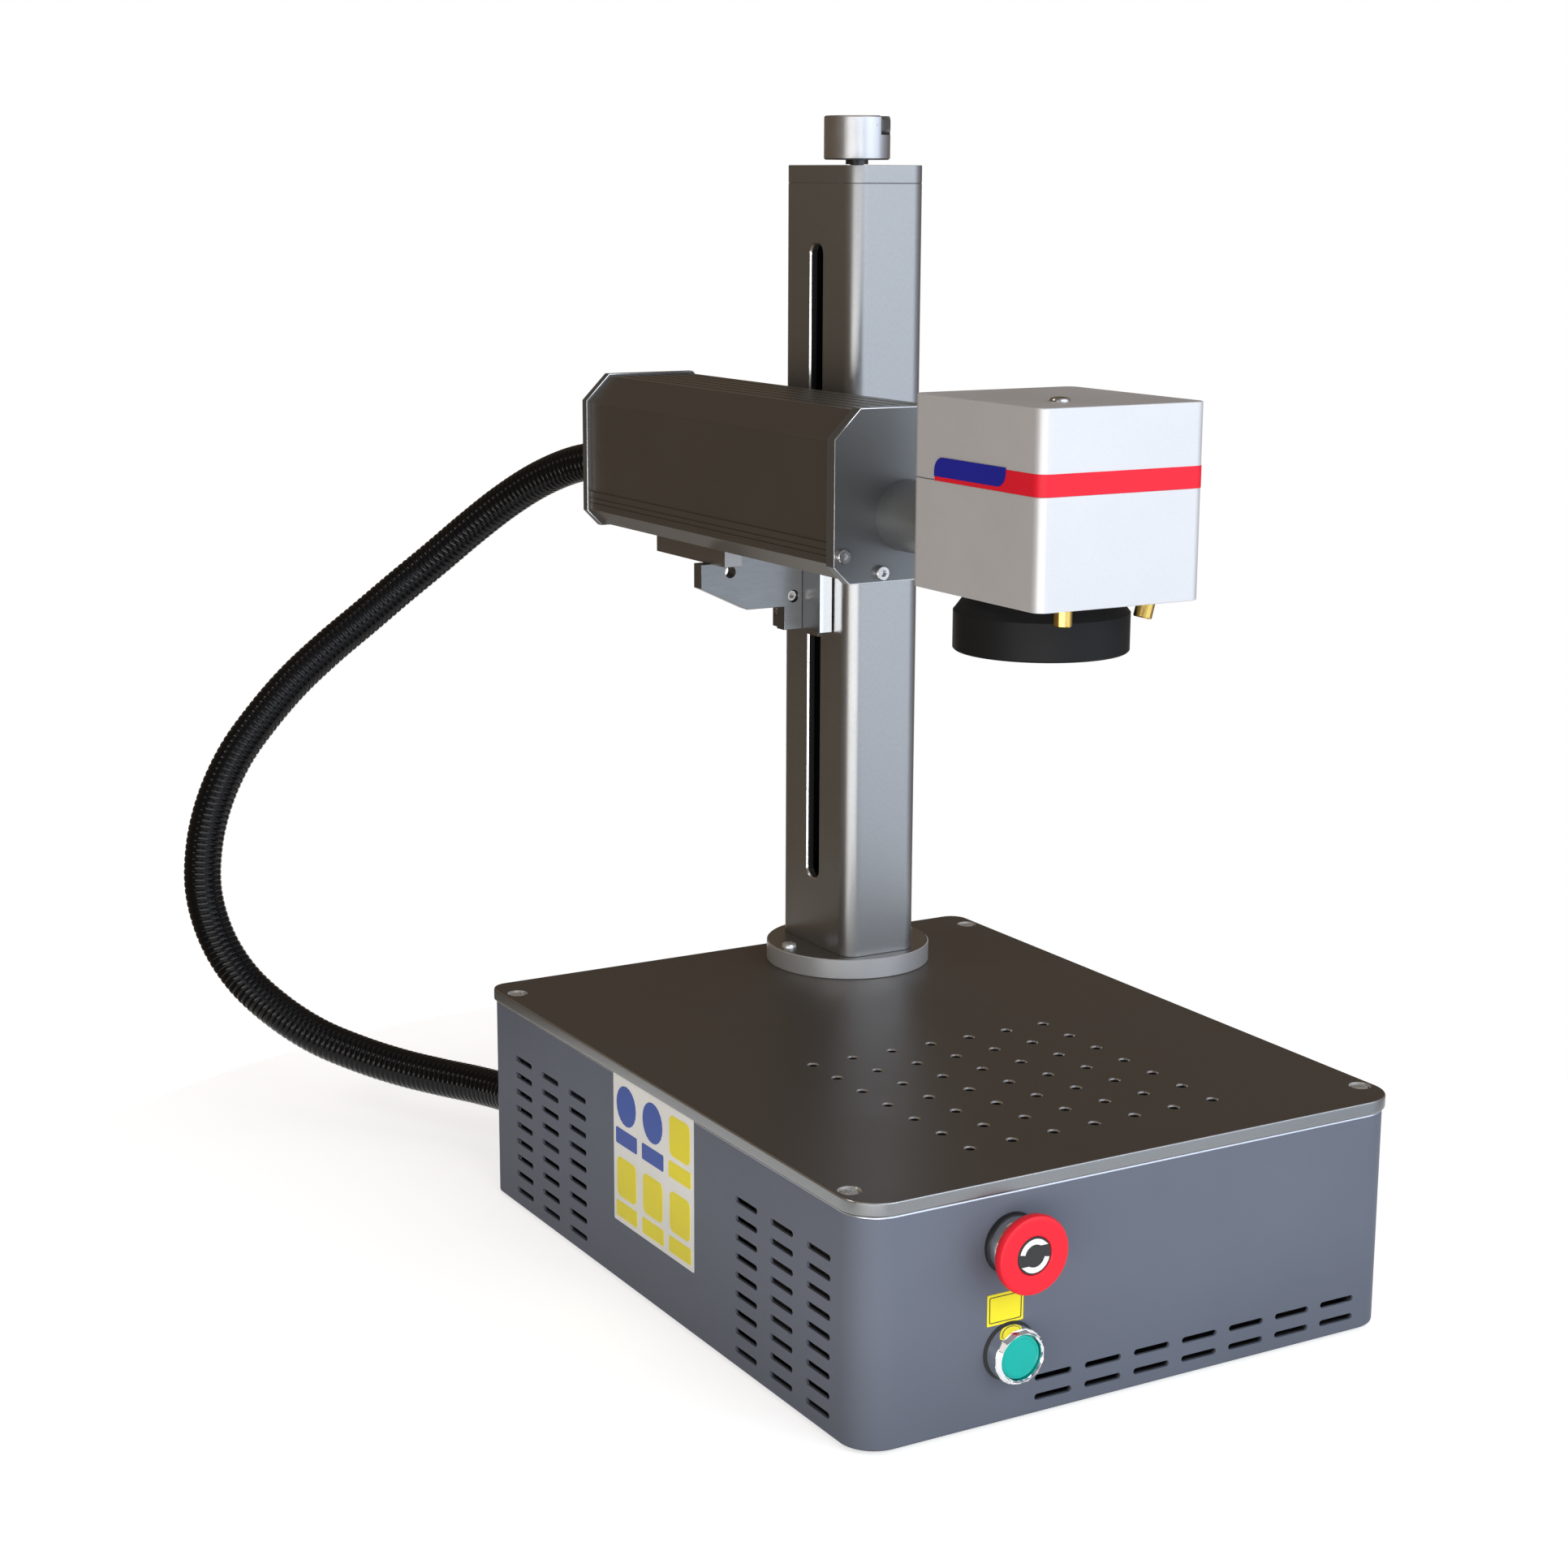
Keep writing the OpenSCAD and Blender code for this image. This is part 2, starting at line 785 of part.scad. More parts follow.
module bearing_ring() {
  difference() {
    cylinder(d = bearing_d, h = bearing_h);
    translate([0, 0, -cut]) cylinder(d = journal_d + 2 * run_gap, h = bearing_h + 2 * cut);
  }
}

module screw_bearings() {
  color([0.7, 0.7, 0.72])
    for (z = [z_flange + foot_block_h - bearing_h, z_col - spigot_h])
      translate([drive_x, col_y, z]) bearing_ring();
}

module guide_rods() {
  color([0.75, 0.76, 0.78])
    for (y = [-1, 1])
      translate([drive_x, col_y + y * rod_y, z_flange + foot_block_h / 2])
        cylinder(d = rod_d, h = col_h - foot_block_h / 2);
}

module lead_screw() {
  screw_low = z_flange + foot_block_h + collar_gap;
  screw_high = z_col - spigot_h - collar_gap;
  color([0.68, 0.69, 0.7])
    translate([drive_x, col_y, 0]) {
      translate([0, 0, screw_low]) cylinder(d = screw_d, h = screw_high - screw_low);
      translate([0, 0, z_flange + foot_block_h - bearing_h]) cylinder(d = journal_d, h = bearing_h + cut);
      translate([0, 0, screw_high - cut])
        cylinder(d = journal_d, h = z_knob + knob_h / 3 - screw_high + cut);
      translate([0, 0, z_cap + collar_gap]) cylinder(d = collar_d, h = knob_gap - collar_gap);
    }
}

// Puts children into the folded crank lever's place and direction
module crank_place() {
  translate([drive_x, col_y, 0]) rotate([0, 0, crank_turn]) children();
}

module hand_knob() {
  slot = crank_w + 2 * near_gap;
  deep = crank_h + 2 * near_gap;
  far = crank_pin_r - crank_swing + crank_w / 2;
  color([0.72, 0.73, 0.74])
    difference() {
      translate([drive_x, col_y, z_knob]) cylinder(d = knob_d, h = knob_h);
      translate([drive_x, col_y, z_knob - cut])
        cylinder(d = journal_d + 2 * run_gap, h = knob_h / 3 + cut);
      crank_place() {
        translate([far, -slot / 2, z_knob_top - deep]) cube([knob_d, slot, deep + cut]);
        translate([far, 0, z_knob_top - deep]) cylinder(d = slot, h = deep + cut);
        translate([crank_pin_r, -crank_pin_l / 2, crank_pin_z])
          y_rod(crank_pin_d + 2 * run_gap, crank_pin_l);
      }
    }
}

module crank_pin() {
  color([0.5, 0.5, 0.52])
    crank_place() translate([crank_pin_r, -crank_pin_l / 2 + cut, crank_pin_z])
      y_rod(crank_pin_d, crank_pin_l - 2 * cut);
}

module crank_lever() {
  end_x = crank_pin_r - crank_reach + crank_w / 2;
  color([0.22, 0.23, 0.25])
    crank_place() difference() {
      intersection() {
        union() {
          translate([crank_pin_r, -crank_w / 2, crank_pin_z]) y_rod(crank_h, crank_w);
          translate([end_x, -crank_w / 2, crank_pin_z - crank_h / 2])
            cube([crank_pin_r - end_x, crank_w, crank_h]);
          translate([end_x, 0, crank_pin_z - crank_h / 2]) cylinder(d = crank_w, h = crank_h);
        }
        translate([0, 0, z_knob]) cylinder(d = knob_d, h = knob_h);
      }
      translate([crank_pin_r, -crank_w, crank_pin_z]) y_rod(crank_pin_d + 2 * run_gap, 2 * crank_w);
      translate([end_x, 0, crank_pin_z - crank_h]) cylinder(d = crank_hole_d, h = 2 * crank_h);
    }
}

module carriage() {
  left = col_x - carriage_w / 2;
  color([0.5, 0.51, 0.53])
    difference() {
      union() {
        translate([left, col_y - carriage_d / 2, z_carriage]) cube([carriage_w, carriage_d, carriage_h]);
        translate([plate_right, col_y - neck_w / 2, z_carriage])
          cube([left - plate_right + cut, neck_w, carriage_h]);
      }
      translate([drive_x, col_y, z_carriage - cut])
        cylinder(d = nut_d + 2 * run_gap, h = carriage_h + 2 * cut);
      translate([0, 0, z_carriage - cut]) rod_holes(carriage_h + 2 * cut);
    }
}

module lead_nut() {
  color([0.75, 0.6, 0.25])
    translate([drive_x, col_y, z_carriage]) difference() {
      union() {
        cylinder(d = nut_d, h = carriage_h);
        translate([0, 0, -nut_flange_h]) cylinder(d = nut_flange_d, h = nut_flange_h);
      }
      translate([0, 0, -nut_flange_h - cut])
        cylinder(d = screw_d + 2 * run_gap, h = carriage_h + nut_flange_h + 2 * cut);
    }
}

module slide_plate() {
  color([0.62, 0.63, 0.65])
    translate([plate_left, col_y - plate_w / 2, arm_low_z]) cube([plate_t, plate_w, z_seat - arm_low_z]);
}

module clamp_block() {
  color([0.45, 0.46, 0.47])
    difference() {
      translate([plate_left - clamp_w, arm_y + arm_t, arm_low_z]) cube([clamp_w, clamp_d, clamp_h]);
      translate([arm_bolt_x, arm_y, z_hous - arm_bolt_drop])
        y_rod(arm_bolt_d + 2 * run_gap, arm_t + clamp_d - cut);
      translate([plate_left - clamp_w - cut, arm_y + arm_t + clamp_d / 2, arm_low_z + clamp_screw_up])
        x_rod(clamp_screw_d + 2 * run_gap, clamp_screw_h + cut);
    }
}

module bracket_arm() {
  outline = [[arm_left, arm_side_z], [arm_flat_x, arm_flat_z], [arm_step_x, arm_flat_z],
    [arm_step_x, arm_low_z], [plate_left, arm_low_z], [plate_left, z_seat],
    [rail_x + rail_w, z_seat], [rail_x + rail_w, z_hous - rail_h], [arm_left, z_hous - rail_h]];
  color([0.6, 0.62, 0.64])
    difference() {
      translate([0, arm_y + arm_t, 0]) rotate([90, 0, 0]) linear_extrude(arm_t) polygon(outline);
      translate([arm_free_x, arm_y - cut, z_hous - arm_free_drop]) y_rod(arm_hole_d, arm_t + 2 * cut);
      translate([arm_bolt_x, arm_y - cut, z_hous - arm_bolt_drop]) {
        y_rod(arm_bolt_d + 2 * run_gap, arm_t + 2 * cut);
        y_rod(arm_bolt_head_d, arm_bolt_head_h + arm_bolt_sink + cut);
      }
    }
}

module mount_rail() {
  color([0.2, 0.19, 0.17])
    translate([rail_x, rail_y, z_hous - rail_h]) cube([rail_w, rail_l, z_seat - z_hous + rail_h]);
}

// Outline of the housing seen along Y, drawn inward by a set distance
module hous_outline(inward) {
  w = hous_w / 2 - inward;
  up = hous_up - inward;
  low = hous_low - inward;
  cu = hous_chamfer_up - inward * chamfer_share;
  cl = hous_chamfer_low - inward * chamfer_share;
  polygon([[-w + cl, -low], [w - cl, -low], [w, -low + cl], [w, up - cu], [w - cu, up],
    [-w + cu, up], [-w, up - cu], [-w, -low + cl]]);
}

// Sets a flat outline upright on the beam axis, y0 at its back face
module upright(y0, l) {
  translate([beam_x, y0, beam_z]) rotate([90, 0, 0]) linear_extrude(l) children();
}

module housing_body() {
  len = hous_l - front_plate_t - rear_plate_t;
  back = hous_back - rear_plate_t;
  up = hous_up - hous_inset;
  side = hous_w / 2 - hous_inset;
  color([0.2, 0.18, 0.16])
    difference() {
      upright(back, len) hous_outline(hous_inset);
      upright(back + cut, len + 2 * cut) hous_outline(hous_inset + hous_wall);
      for (i = [-2 : 2])
        translate([beam_x + i * groove_pitch - groove_w / 2, back - len - cut, beam_z + up - groove_h])
          cube([groove_w, len + 2 * cut, groove_h + cut]);
      for (m = [0, 1])
        translate([beam_x, 0, beam_z]) mirror([m, 0, 0]) {
          translate([-side - cut, back - len - cut, panel_low])
            cube([cut + panel_step, len + 2 * cut, up - panel_low - hous_chamfer_up]);
          for (z = band_lines)
            translate([-side - cut, back - len - cut, panel_low - z])
              cube([cut + band_line, len + 2 * cut, band_line]);
        }
    }
}

module end_screw_spots() {
  for (m = [-1, 1])
    for (p = [end_screw_out, end_screw_in])
      translate([beam_x + m * p[0], 0, beam_z + p[1]]) children();
}

module housing_front_plate() {
  color([0.2, 0.21, 0.22])
    difference() {
      upright(hous_front + front_plate_t, front_plate_t) hous_outline(0);
      translate([beam_x, hous_front - cut, beam_z]) y_rod(tube_d + 2 * run_gap, front_plate_t + 2 * cut);
      end_screw_spots() translate([0, hous_front - cut, 0])
        y_rod(end_screw_d + 2 * run_gap, front_plate_t + 2 * cut);
    }
}

// Socket screw that points backwards, its head's front at y = 0
module back_screw(d, l, head_d, head_h) {
  rotate([-90, 0, 0]) difference() {
    union() {
      cylinder(d = head_d, h = head_h);
      cylinder(d = d, h = l);
    }
    translate([0, 0, -cut]) cylinder(d = d * socket_share, h = cut + head_h / 2, $fn = 6);
  }
}

module head_screws() {
  color([0.7, 0.7, 0.72])
    end_screw_spots() translate([0, hous_front - end_head_h, 0])
      back_screw(end_screw_d, end_head_h + front_plate_t, end_head_d, end_head_h);
  color([0.2, 0.2, 0.22])
    translate([arm_bolt_x, arm_y + arm_bolt_sink, z_hous - arm_bolt_drop])
      back_screw(arm_bolt_d, arm_t + clamp_d - arm_bolt_sink - 2 * cut,
        arm_bolt_head_d - 2 * near_gap, arm_bolt_head_h);
  color([0.2, 0.2, 0.22])
    translate([plate_left - clamp_w, arm_y + arm_t + clamp_d / 2, arm_low_z + clamp_screw_up])
      difference() {
        x_rod(clamp_screw_d, clamp_screw_h);
        translate([-cut, 0, 0]) x_rod(clamp_screw_d / 2, clamp_screw_h / 2 + cut);
      }
  color([0.72, 0.72, 0.74])
    translate([cover_screw_x, galvo_back - cover_screw_back, z_galvo_top])
      down_screw(table_screw_d, cover_screw_l, cover_head_d, cover_head_h);
}

// Cable gland that points backwards, its thread going forwards through the wall
module gland() {
  difference() {
    union() {
      rotate([-90, 0, 0]) cylinder(d = gland_d, h = gland_nut_l, $fn = 6);
      y_rod(gland_dome_d, gland_l);
      translate([0, -gland_inside_l, 0]) y_rod(gland_thread_d, gland_inside_l + cut);
    }
    translate([0, -gland_inside_l - cut, 0])
      y_rod(hose_d - 2 * valley - 2 * hose_wall, gland_inside_l + gland_l + 2 * cut);
  }
}

module housing_rear_plate() {
  color([0.22, 0.22, 0.22])
    difference() {
      upright(hous_back, rear_plate_t) hous_outline(0);
      translate([beam_x, hous_back - rear_plate_t - cut, beam_z])
        y_rod(gland_thread_d + 2 * run_gap, rear_plate_t + 2 * cut);
    }
}

module head_gland() {
  color([0.1, 0.1, 0.11]) translate([beam_x, hous_back, beam_z]) gland();
}

module cabinet_gland() {
  color([0.1, 0.1, 0.11]) translate([case_gland_x, back_y, case_gland_z]) gland();
}

module collimator() {
  y0 = hous_front + front_plate_t + collimator_gap;
  color([0.3, 0.31, 0.33])
    difference() {
      union() {
        translate([beam_x, y0, beam_z]) y_rod(collimator_d, collimator_l);
        translate([beam_x - collimator_d / 2, y0 + collimator_foot_in, z_seat + hous_wall])
          cube([collimator_d, collimator_l - 2 * collimator_foot_in, beam_z - z_seat - hous_wall]);
      }
      translate([beam_x, y0 - cut, beam_z]) y_rod(collimator_bore, collimator_l + 2 * cut);
    }
}

module beam_tube() {
  color([0.12, 0.12, 0.13])
    difference() {
      translate([beam_x, galvo_back, beam_z]) y_rod(tube_d, tube_l + front_plate_t);
      translate([beam_x, galvo_back - cut, beam_z]) y_rod(tube_bore, tube_l + front_plate_t + 2 * cut);
    }
}

module galvo_block(z, h, inward) {
  translate([beam_x, (galvo_back + galvo_front) / 2, z]) linear_extrude(h)
    round_rect(galvo_w - 2 * inward, galvo_l - 2 * inward, galvo_r - inward / 2);
}

module pointer_axis(x, inside, tilt) {
  translate([x, galvo_front + inside, z_galvo]) rotate([0, tilt, 0]) children();
}

module galvo_base() {
  color([0.72, 0.73, 0.76])
    difference() {
      galvo_block(z_galvo, galvo_low_h, 0);
      galvo_block(z_galvo + galvo_floor, galvo_low_h, galvo_wall);
      translate([beam_x, galvo_back - 2 * galvo_wall, beam_z]) y_rod(tube_bore, 2 * galvo_wall + cut);
      translate([beam_x, lens_y, z_galvo - cut])
        cylinder(d = lens_thread_d + 2 * run_gap, h = galvo_floor + 2 * cut);
      pointer_axis(pointer_left_x, pointer_left_in, 0) translate([0, 0, -pointer_d])
        cylinder(d = pointer_d + 2 * run_gap, h = pointer_l + pointer_d);
      pointer_axis(pointer_right_x, pointer_right_in, pointer_tilt) translate([0, 0, -pointer_d])
        cylinder(d = pointer_d + 2 * run_gap, h = pointer_l + pointer_d);
    }
}

module galvo_cover() {
  color([0.74, 0.75, 0.78])
    difference() {
      galvo_block(z_seam, galvo_cover_h, 0);
      galvo_block(z_seam - cover_wall, galvo_cover_h, cover_wall);
      translate([cover_screw_x, galvo_back - cover_screw_back, z_galvo_top - cover_wall - cut])
        cylinder(d = table_screw_d + 2 * run_gap, h = cover_wall + 2 * cut);
    }
}

module galvo_stripe() {
  color([0.85, 0.12, 0.18])
    difference() {
      galvo_block(z_seam, stripe_h, -film_t);
      galvo_block(z_seam - cut, stripe_h + 2 * cut, 0);
      translate([beam_x - galvo_w, stripe_back, z_seam - cut])
        cube([2 * galvo_w, galvo_l, stripe_h + 2 * cut]);
    }
}

module galvo_badge() {
  r = badge_h / 2;
  color([0.13, 0.13, 0.55])
    translate([beam_x - galvo_w / 2 - 2 * film_t, stripe_back - badge_l / 2, z_seam + stripe_h - r])
      slot_y(badge_l, badge_h, film_t);
}

module motor_bracket() {
  y0 = lens_y - motor_d / 2 - mirror_stem - bracket_t;
  x0 = beam_x - motor_d / 2 - bracket_t / 2;
  z0 = z_galvo + galvo_floor;
  w = mirror_off + motor_d + bracket_t;
  z_arm = beam_z + mirror_l / 2 + mirror_stem / 2;
  color([0.35, 0.36, 0.38])
    difference() {
      union() {
        translate([x0, y0, z0]) cube([w, bracket_t, z_arm + bracket_t - z0]);
        translate([x0, y0, z_arm]) cube([w, lens_y + motor_d - y0, bracket_t]);
      }
      translate([beam_x, y0 - cut, beam_z]) y_rod(motor_d + 2 * run_gap, bracket_t + 2 * cut);
      translate([beam_x + mirror_off, lens_y, z_arm - cut])
        cylinder(d = motor_d + 2 * run_gap, h = bracket_t + 2 * cut);
      translate([beam_x, lens_y, z_galvo]) cylinder(d = lens_thread_d, h = galvo_floor + cut);
    }
}

module galvo_motor_x() {
  z_arm = beam_z + mirror_l / 2 + mirror_stem / 2;
  color([0.15, 0.15, 0.17])
    translate([beam_x + mirror_off, lens_y, z_arm]) difference() {
      cylinder(d = motor_d, h = motor_l);
      translate([0, 0, -cut]) cylinder(d = shaft_d + 2 * run_gap, h = motor_l / 2 + cut);
    }
}

module galvo_motor_y() {
  y1 = lens_y - motor_d / 2 - mirror_stem;
  color([0.15, 0.15, 0.17])
    translate([beam_x, y1 - motor_l, beam_z]) difference() {
      y_rod(motor_d, motor_l);
      translate([0, motor_l / 2, 0]) y_rod(shaft_d + 2 * run_gap, motor_l);
    }
}

module mirror_x() {
  z_arm = beam_z + mirror_l / 2 + mirror_stem / 2;
  color([0.75, 0.8, 0.85])
    translate([beam_x + mirror_off, lens_y, 0]) {
      translate([0, 0, beam_z + mirror_l / 4])
        cylinder(d = shaft_d, h = z_arm + motor_l / 3 - beam_z - mirror_l / 4);
      translate([0, 0, beam_z]) rotate([0, 0, -mirror_turn])
        translate([-mirror_w / 2, -mirror_t / 2, -mirror_l / 2]) cube([mirror_w, mirror_t, mirror_l]);
    }
}

module mirror_y() {
  y1 = lens_y - motor_d / 2 - mirror_stem;
  color([0.75, 0.8, 0.85])
    translate([beam_x, 0, beam_z]) {
      translate([0, y1 - motor_l / 3, 0]) y_rod(shaft_d, lens_y - mirror_l / 4 - y1 + motor_l / 3);
      translate([0, lens_y, 0]) rotate([0, mirror_turn, 0])
        translate([-mirror_w / 2, -mirror_l / 2, -mirror_t / 2]) cube([mirror_w, mirror_l, mirror_t]);
    }
}

module lens_barrel() {
  r = lens_d / 2;
  rn = lens_neck_d / 2;
  rt = lens_thread_d / 2;
  top = lens_h;
  shoulder = lens_h - lens_neck_h - lens_cone_h;
  inner = r - lens_wall;
  color([0.1, 0.1, 0.11])
    translate([beam_x, lens_y, z_galvo - lens_h]) rotate_extrude()
      polygon([[inner, 0], [r, 0], [r, shoulder], [rn, shoulder + lens_cone_h], [rn, top], [rt, top],
        [rt, top + galvo_floor], [rt - lens_wall, top + galvo_floor], [rt - lens_wall, top - lens_neck_h],
        [inner - lens_lip, shoulder - lens_lip], [inner - lens_lip, glass_in + glass_t],
        [inner, glass_in + glass_t]]);
}

module lens_glass() {
  color([0.5, 0.45, 0.75, 0.5])
    translate([beam_x, lens_y, z_galvo - lens_h + glass_in])
      cylinder(d = lens_d - 2 * lens_wall - 2 * run_gap, h = glass_t);
}

module pointer() {
  difference() {
    translate([0, 0, -pointer_out]) cylinder(d = pointer_d, h = pointer_l);
    translate([0, 0, -pointer_out - cut]) cylinder(d = pointer_bore, h = pointer_l / 3 + cut);
  }
}

module pointer_left() {
  color([0.72, 0.52, 0.1]) pointer_axis(pointer_left_x, pointer_left_in, 0) pointer();
}

module pointer_right() {
  color([0.72, 0.52, 0.1]) pointer_axis(pointer_right_x, pointer_right_in, pointer_tilt) pointer();
}

module stop_base() {
  translate([control_x, front_y, stop_z]) difference() {
    union() {
      color([0.06, 0.06, 0.06]) translate([0, -stop_ring_h, 0]) y_rod(stop_ring_d, stop_ring_h);
      color([0.6, 0.6, 0.62]) translate([0, -stop_ring_h - stop_collar_h, 0])
        y_rod(stop_collar_d, stop_collar_h);
      color([0.06, 0.06, 0.06]) translate([0, -stop_ring_h, 0])
        y_rod(stop_barrel_d, stop_ring_h + stop_barrel_l);
      translate([-stop_block_w / 2, stop_barrel_l, -stop_block_w / 2])
        cube([stop_block_w, stop_block_l, stop_block_w]);
    }
    translate([0, -stop_ring_h - stop_collar_h - cut, 0])
      y_rod(stop_stem_d + 2 * run_gap, stop_ring_h + stop_collar_h + stop_barrel_l + cut);
  }
}

module stop_plunger() {
  color([0.1, 0.1, 0.1])
    translate([control_x, front_y - stop_reach + near_gap, stop_z]) difference() {
      y_rod(stop_stem_d, stop_reach + stop_barrel_l - stop_travel - free_gap - near_gap);
      translate([0, -cut, 0]) y_rod(stop_stem_d / 2, stop_head_t + cut);
    }
}

module stop_head() {
  face = -stop_reach - stop_head_t;
  translate([control_x, front_y, stop_z]) {
    color([0.85, 0.08, 0.12]) difference() {
      union() {
        translate([0, face, 0]) y_rod(stop_d, stop_head_t);
        translate([0, face + cut, 0]) y_rod(stop_stem_d / 2 - 2 * run_gap, 2 * stop_head_t - 2 * cut);
      }
      translate([0, face - cut, 0]) y_rod(stop_mark_d, stop_mark_t + cut);
    }
    color([0.05, 0.05, 0.05]) translate([0, face + stop_mark_t / 2, 0])
      y_rod(stop_mark_d, stop_mark_t / 2);
  }
}

module start_bezel() {
  color([0.8, 0.8, 0.82])
    translate([control_x, front_y, start_z]) difference() {
      union() {
        translate([0, -start_h, 0]) y_rod(start_d, start_h);
        translate([0, -start_floor, 0]) y_rod(stop_barrel_d, stop_barrel_l + start_floor);
      }
      translate([0, -start_h - cut, 0]) y_rod(start_in_d, start_h + cut - start_floor);
      for (i = [0 : start_flats - 1])
        rotate([0, i * 360 / start_flats, 0])
          translate([0, -start_h, start_d / 2]) rotate([45, 0, 0])
            cube([start_d, start_bevel, 2 * start_bevel], center = true);
    }
}

module start_button() {
  color([0.06, 0.65, 0.55])
    translate([control_x, front_y - start_h + start_inset, start_z]) y_rod(start_cap_d, start_cap_t);
}

module panel_labels() {
  color([0.9, 0.9, 0.9])
    translate([-case_w / 2 - film_t, label_y - label_w / 2, label_z]) cube([film_t, label_w, label_h]);
  color([0.95, 0.85, 0.1])
    translate([sticker_x - sticker_w / 2, front_y - film_t, sticker_z])
      cube([sticker_w, film_t, sticker_h]);
}

module laser_source() {
  z0 = z_case + case_t;
  step = source_l / (source_fins + 1);
  color([0.25, 0.26, 0.28])
    difference() {
      translate([source_x - source_w / 2, source_y - source_l / 2, z0])
        cube([source_w, source_l, source_h]);
      for (i = [1 : source_fins])
        translate([source_x - source_w / 2 - cut, source_y - source_l / 2 + i * step,
          z0 + source_h - fin_h])
          cube([source_w + 2 * cut, step / 2, source_h]);
    }
}

module power_supply() {
  color([0.65, 0.66, 0.68])
    translate([supply_x - supply_w / 2, supply_y - supply_l / 2, z_case + case_t])
      cube([supply_w, supply_l, supply_h]);
}

module control_board() {
  z0 = z_case + case_t;
  color([0.05, 0.35, 0.15])
    translate([board_x - board_w / 2, board_y - board_l / 2, z0 + board_z]) {
      cube([board_w, board_l, board_t]);
      translate([board_w * 0.2, board_l * 0.3, board_t]) cube([board_w * 0.3, board_w * 0.3, 2 * board_t]);
      translate([board_w * 0.6, board_l * 0.1, board_t]) cube([board_w * 0.3, board_l * 0.2, 6 * board_t]);
      for (x = [stud_d, board_w - stud_d])
        for (y = [stud_d, board_l - stud_d])
          translate([x, y, -board_z]) cylinder(d = stud_d, h = board_z + board_t / 2);
    }
}

module fan_frame() {
  y0 = back_y - case_t - fan_t;
  color([0.08, 0.08, 0.09]) {
    difference() {
      translate([fan_x - fan_w / 2, y0, fan_z - fan_w / 2]) cube([fan_w, fan_t, fan_w]);
      translate([fan_x, y0 - cut, fan_z]) y_rod(fan_bore, fan_t + 2 * cut);
      fan_screw_spots() translate([0, y0 - cut, 0]) y_rod(fan_screw_d + 2 * run_gap, fan_t + 2 * cut);
    }
    for (a = [0, 90])
      translate([fan_x, y0 + guard_wire, fan_z]) rotate([0, a + 45, 0])
        cube([fan_bore + cut, 2 * guard_wire, 2 * guard_wire], center = true);
    translate([fan_x, y0, fan_z]) y_rod(fan_hub_d, 2 * guard_wire);
    translate([fan_x, y0, fan_z]) y_rod(shaft_d, fan_t / 2);
  }
}

module fan_rotor() {
  y0 = back_y - case_t - fan_rotor_t - free_gap;
  color([0.12, 0.12, 0.13])
    translate([fan_x, y0, fan_z]) difference() {
      union() {
        y_rod(fan_hub_d, fan_rotor_t);
        for (i = [0 : fan_blades - 1])
          rotate([0, i * 360 / fan_blades, 0])
            translate([0, fan_rotor_t / 2, fan_tip_d / 4 + fan_hub_d / 8]) rotate([0, 0, fan_blade_turn])
              cube([fan_blade_t, fan_rotor_t - 2 * fan_blade_t, fan_tip_d / 2 - fan_hub_d / 4],
                center = true);
      }
      translate([0, -cut, 0]) y_rod(shaft_d + 2 * run_gap, fan_t / 2);
    }
}

module fan_guard() {
  color([0.6, 0.6, 0.62]) {
    translate([fan_x, back_y, fan_z]) {
      for (share = guard_ring_shares)
        difference() {
          y_rod(2 * share * fan_w + guard_wire, guard_wire);
          translate([0, -cut, 0]) y_rod(2 * share * fan_w - guard_wire, guard_wire + 2 * cut);
        }
      for (a = [45, 135])
        rotate([0, a, 0]) translate([-fan_screw * sqrt(0.5), 0, -guard_wire / 2])
          cube([fan_screw * sqrt(2), guard_wire, guard_wire]);
    }
    fan_screw_spots() {
      translate([0, back_y - fan_screw_l, 0]) y_rod(fan_screw_d, fan_screw_l + cut);
      translate([0, back_y, 0]) y_rod(fan_head_d, 2 * guard_wire);
    }
  }
}

module power_inlet() {
  color([0.05, 0.05, 0.06])
    translate([inlet_x, back_y, inlet_z]) difference() {
      union() {
        translate([-inlet_w / 2, 0, -inlet_h / 2]) cube([inlet_w, inlet_t, inlet_h]);
        translate([-inlet_w / 2 + inlet_t + run_gap, -inlet_l, -inlet_h / 2 + inlet_t + run_gap])
          cube([inlet_w - 2 * inlet_t - 2 * run_gap, inlet_l + cut, inlet_h - 2 * inlet_t - 2 * run_gap]);
      }
      translate([-inlet_w / 2 + plug_in, inlet_t - plug_deep, -plug_h / 2])
        cube([plug_w, plug_deep + cut, plug_h]);
      translate([inlet_w / 2 - rocker_in - rocker_w - 2 * near_gap, -rocker_t, -rocker_d / 2 - near_gap])
        cube([rocker_w + 2 * near_gap, rocker_t + inlet_t + cut, rocker_d + 2 * near_gap]);
    }
}

module rocker_switch() {
  x0 = inlet_x + inlet_w / 2 - rocker_in - rocker_w - near_gap;
  color([0.6, 0.05, 0.05])
    translate([x0, back_y - rocker_t / 2, inlet_z]) intersection() {
      x_rod(rocker_d, rocker_w);
      translate([-cut, 0, -rocker_d / 2]) cube([rocker_w + 2 * cut, rocker_d, rocker_d]);
    }
}

module usb_socket() {
  color([0.75, 0.75, 0.77])
    translate([usb_x, back_y, usb_z]) difference() {
      union() {
        translate([-usb_w / 2, 0, -usb_h / 2]) cube([usb_w, usb_t, usb_h]);
        translate([-usb_w / 2 + usb_t + run_gap, -usb_l, -usb_h / 2 + usb_t + run_gap])
          cube([usb_w - 2 * usb_t - 2 * run_gap, usb_l + usb_t / 2, usb_h - 2 * usb_t - 2 * run_gap]);
      }
      translate([-usb_hole / 2, -usb_l + usb_edge, -usb_hole / 2]) cube([usb_hole, usb_l, usb_hole]);
    }
}

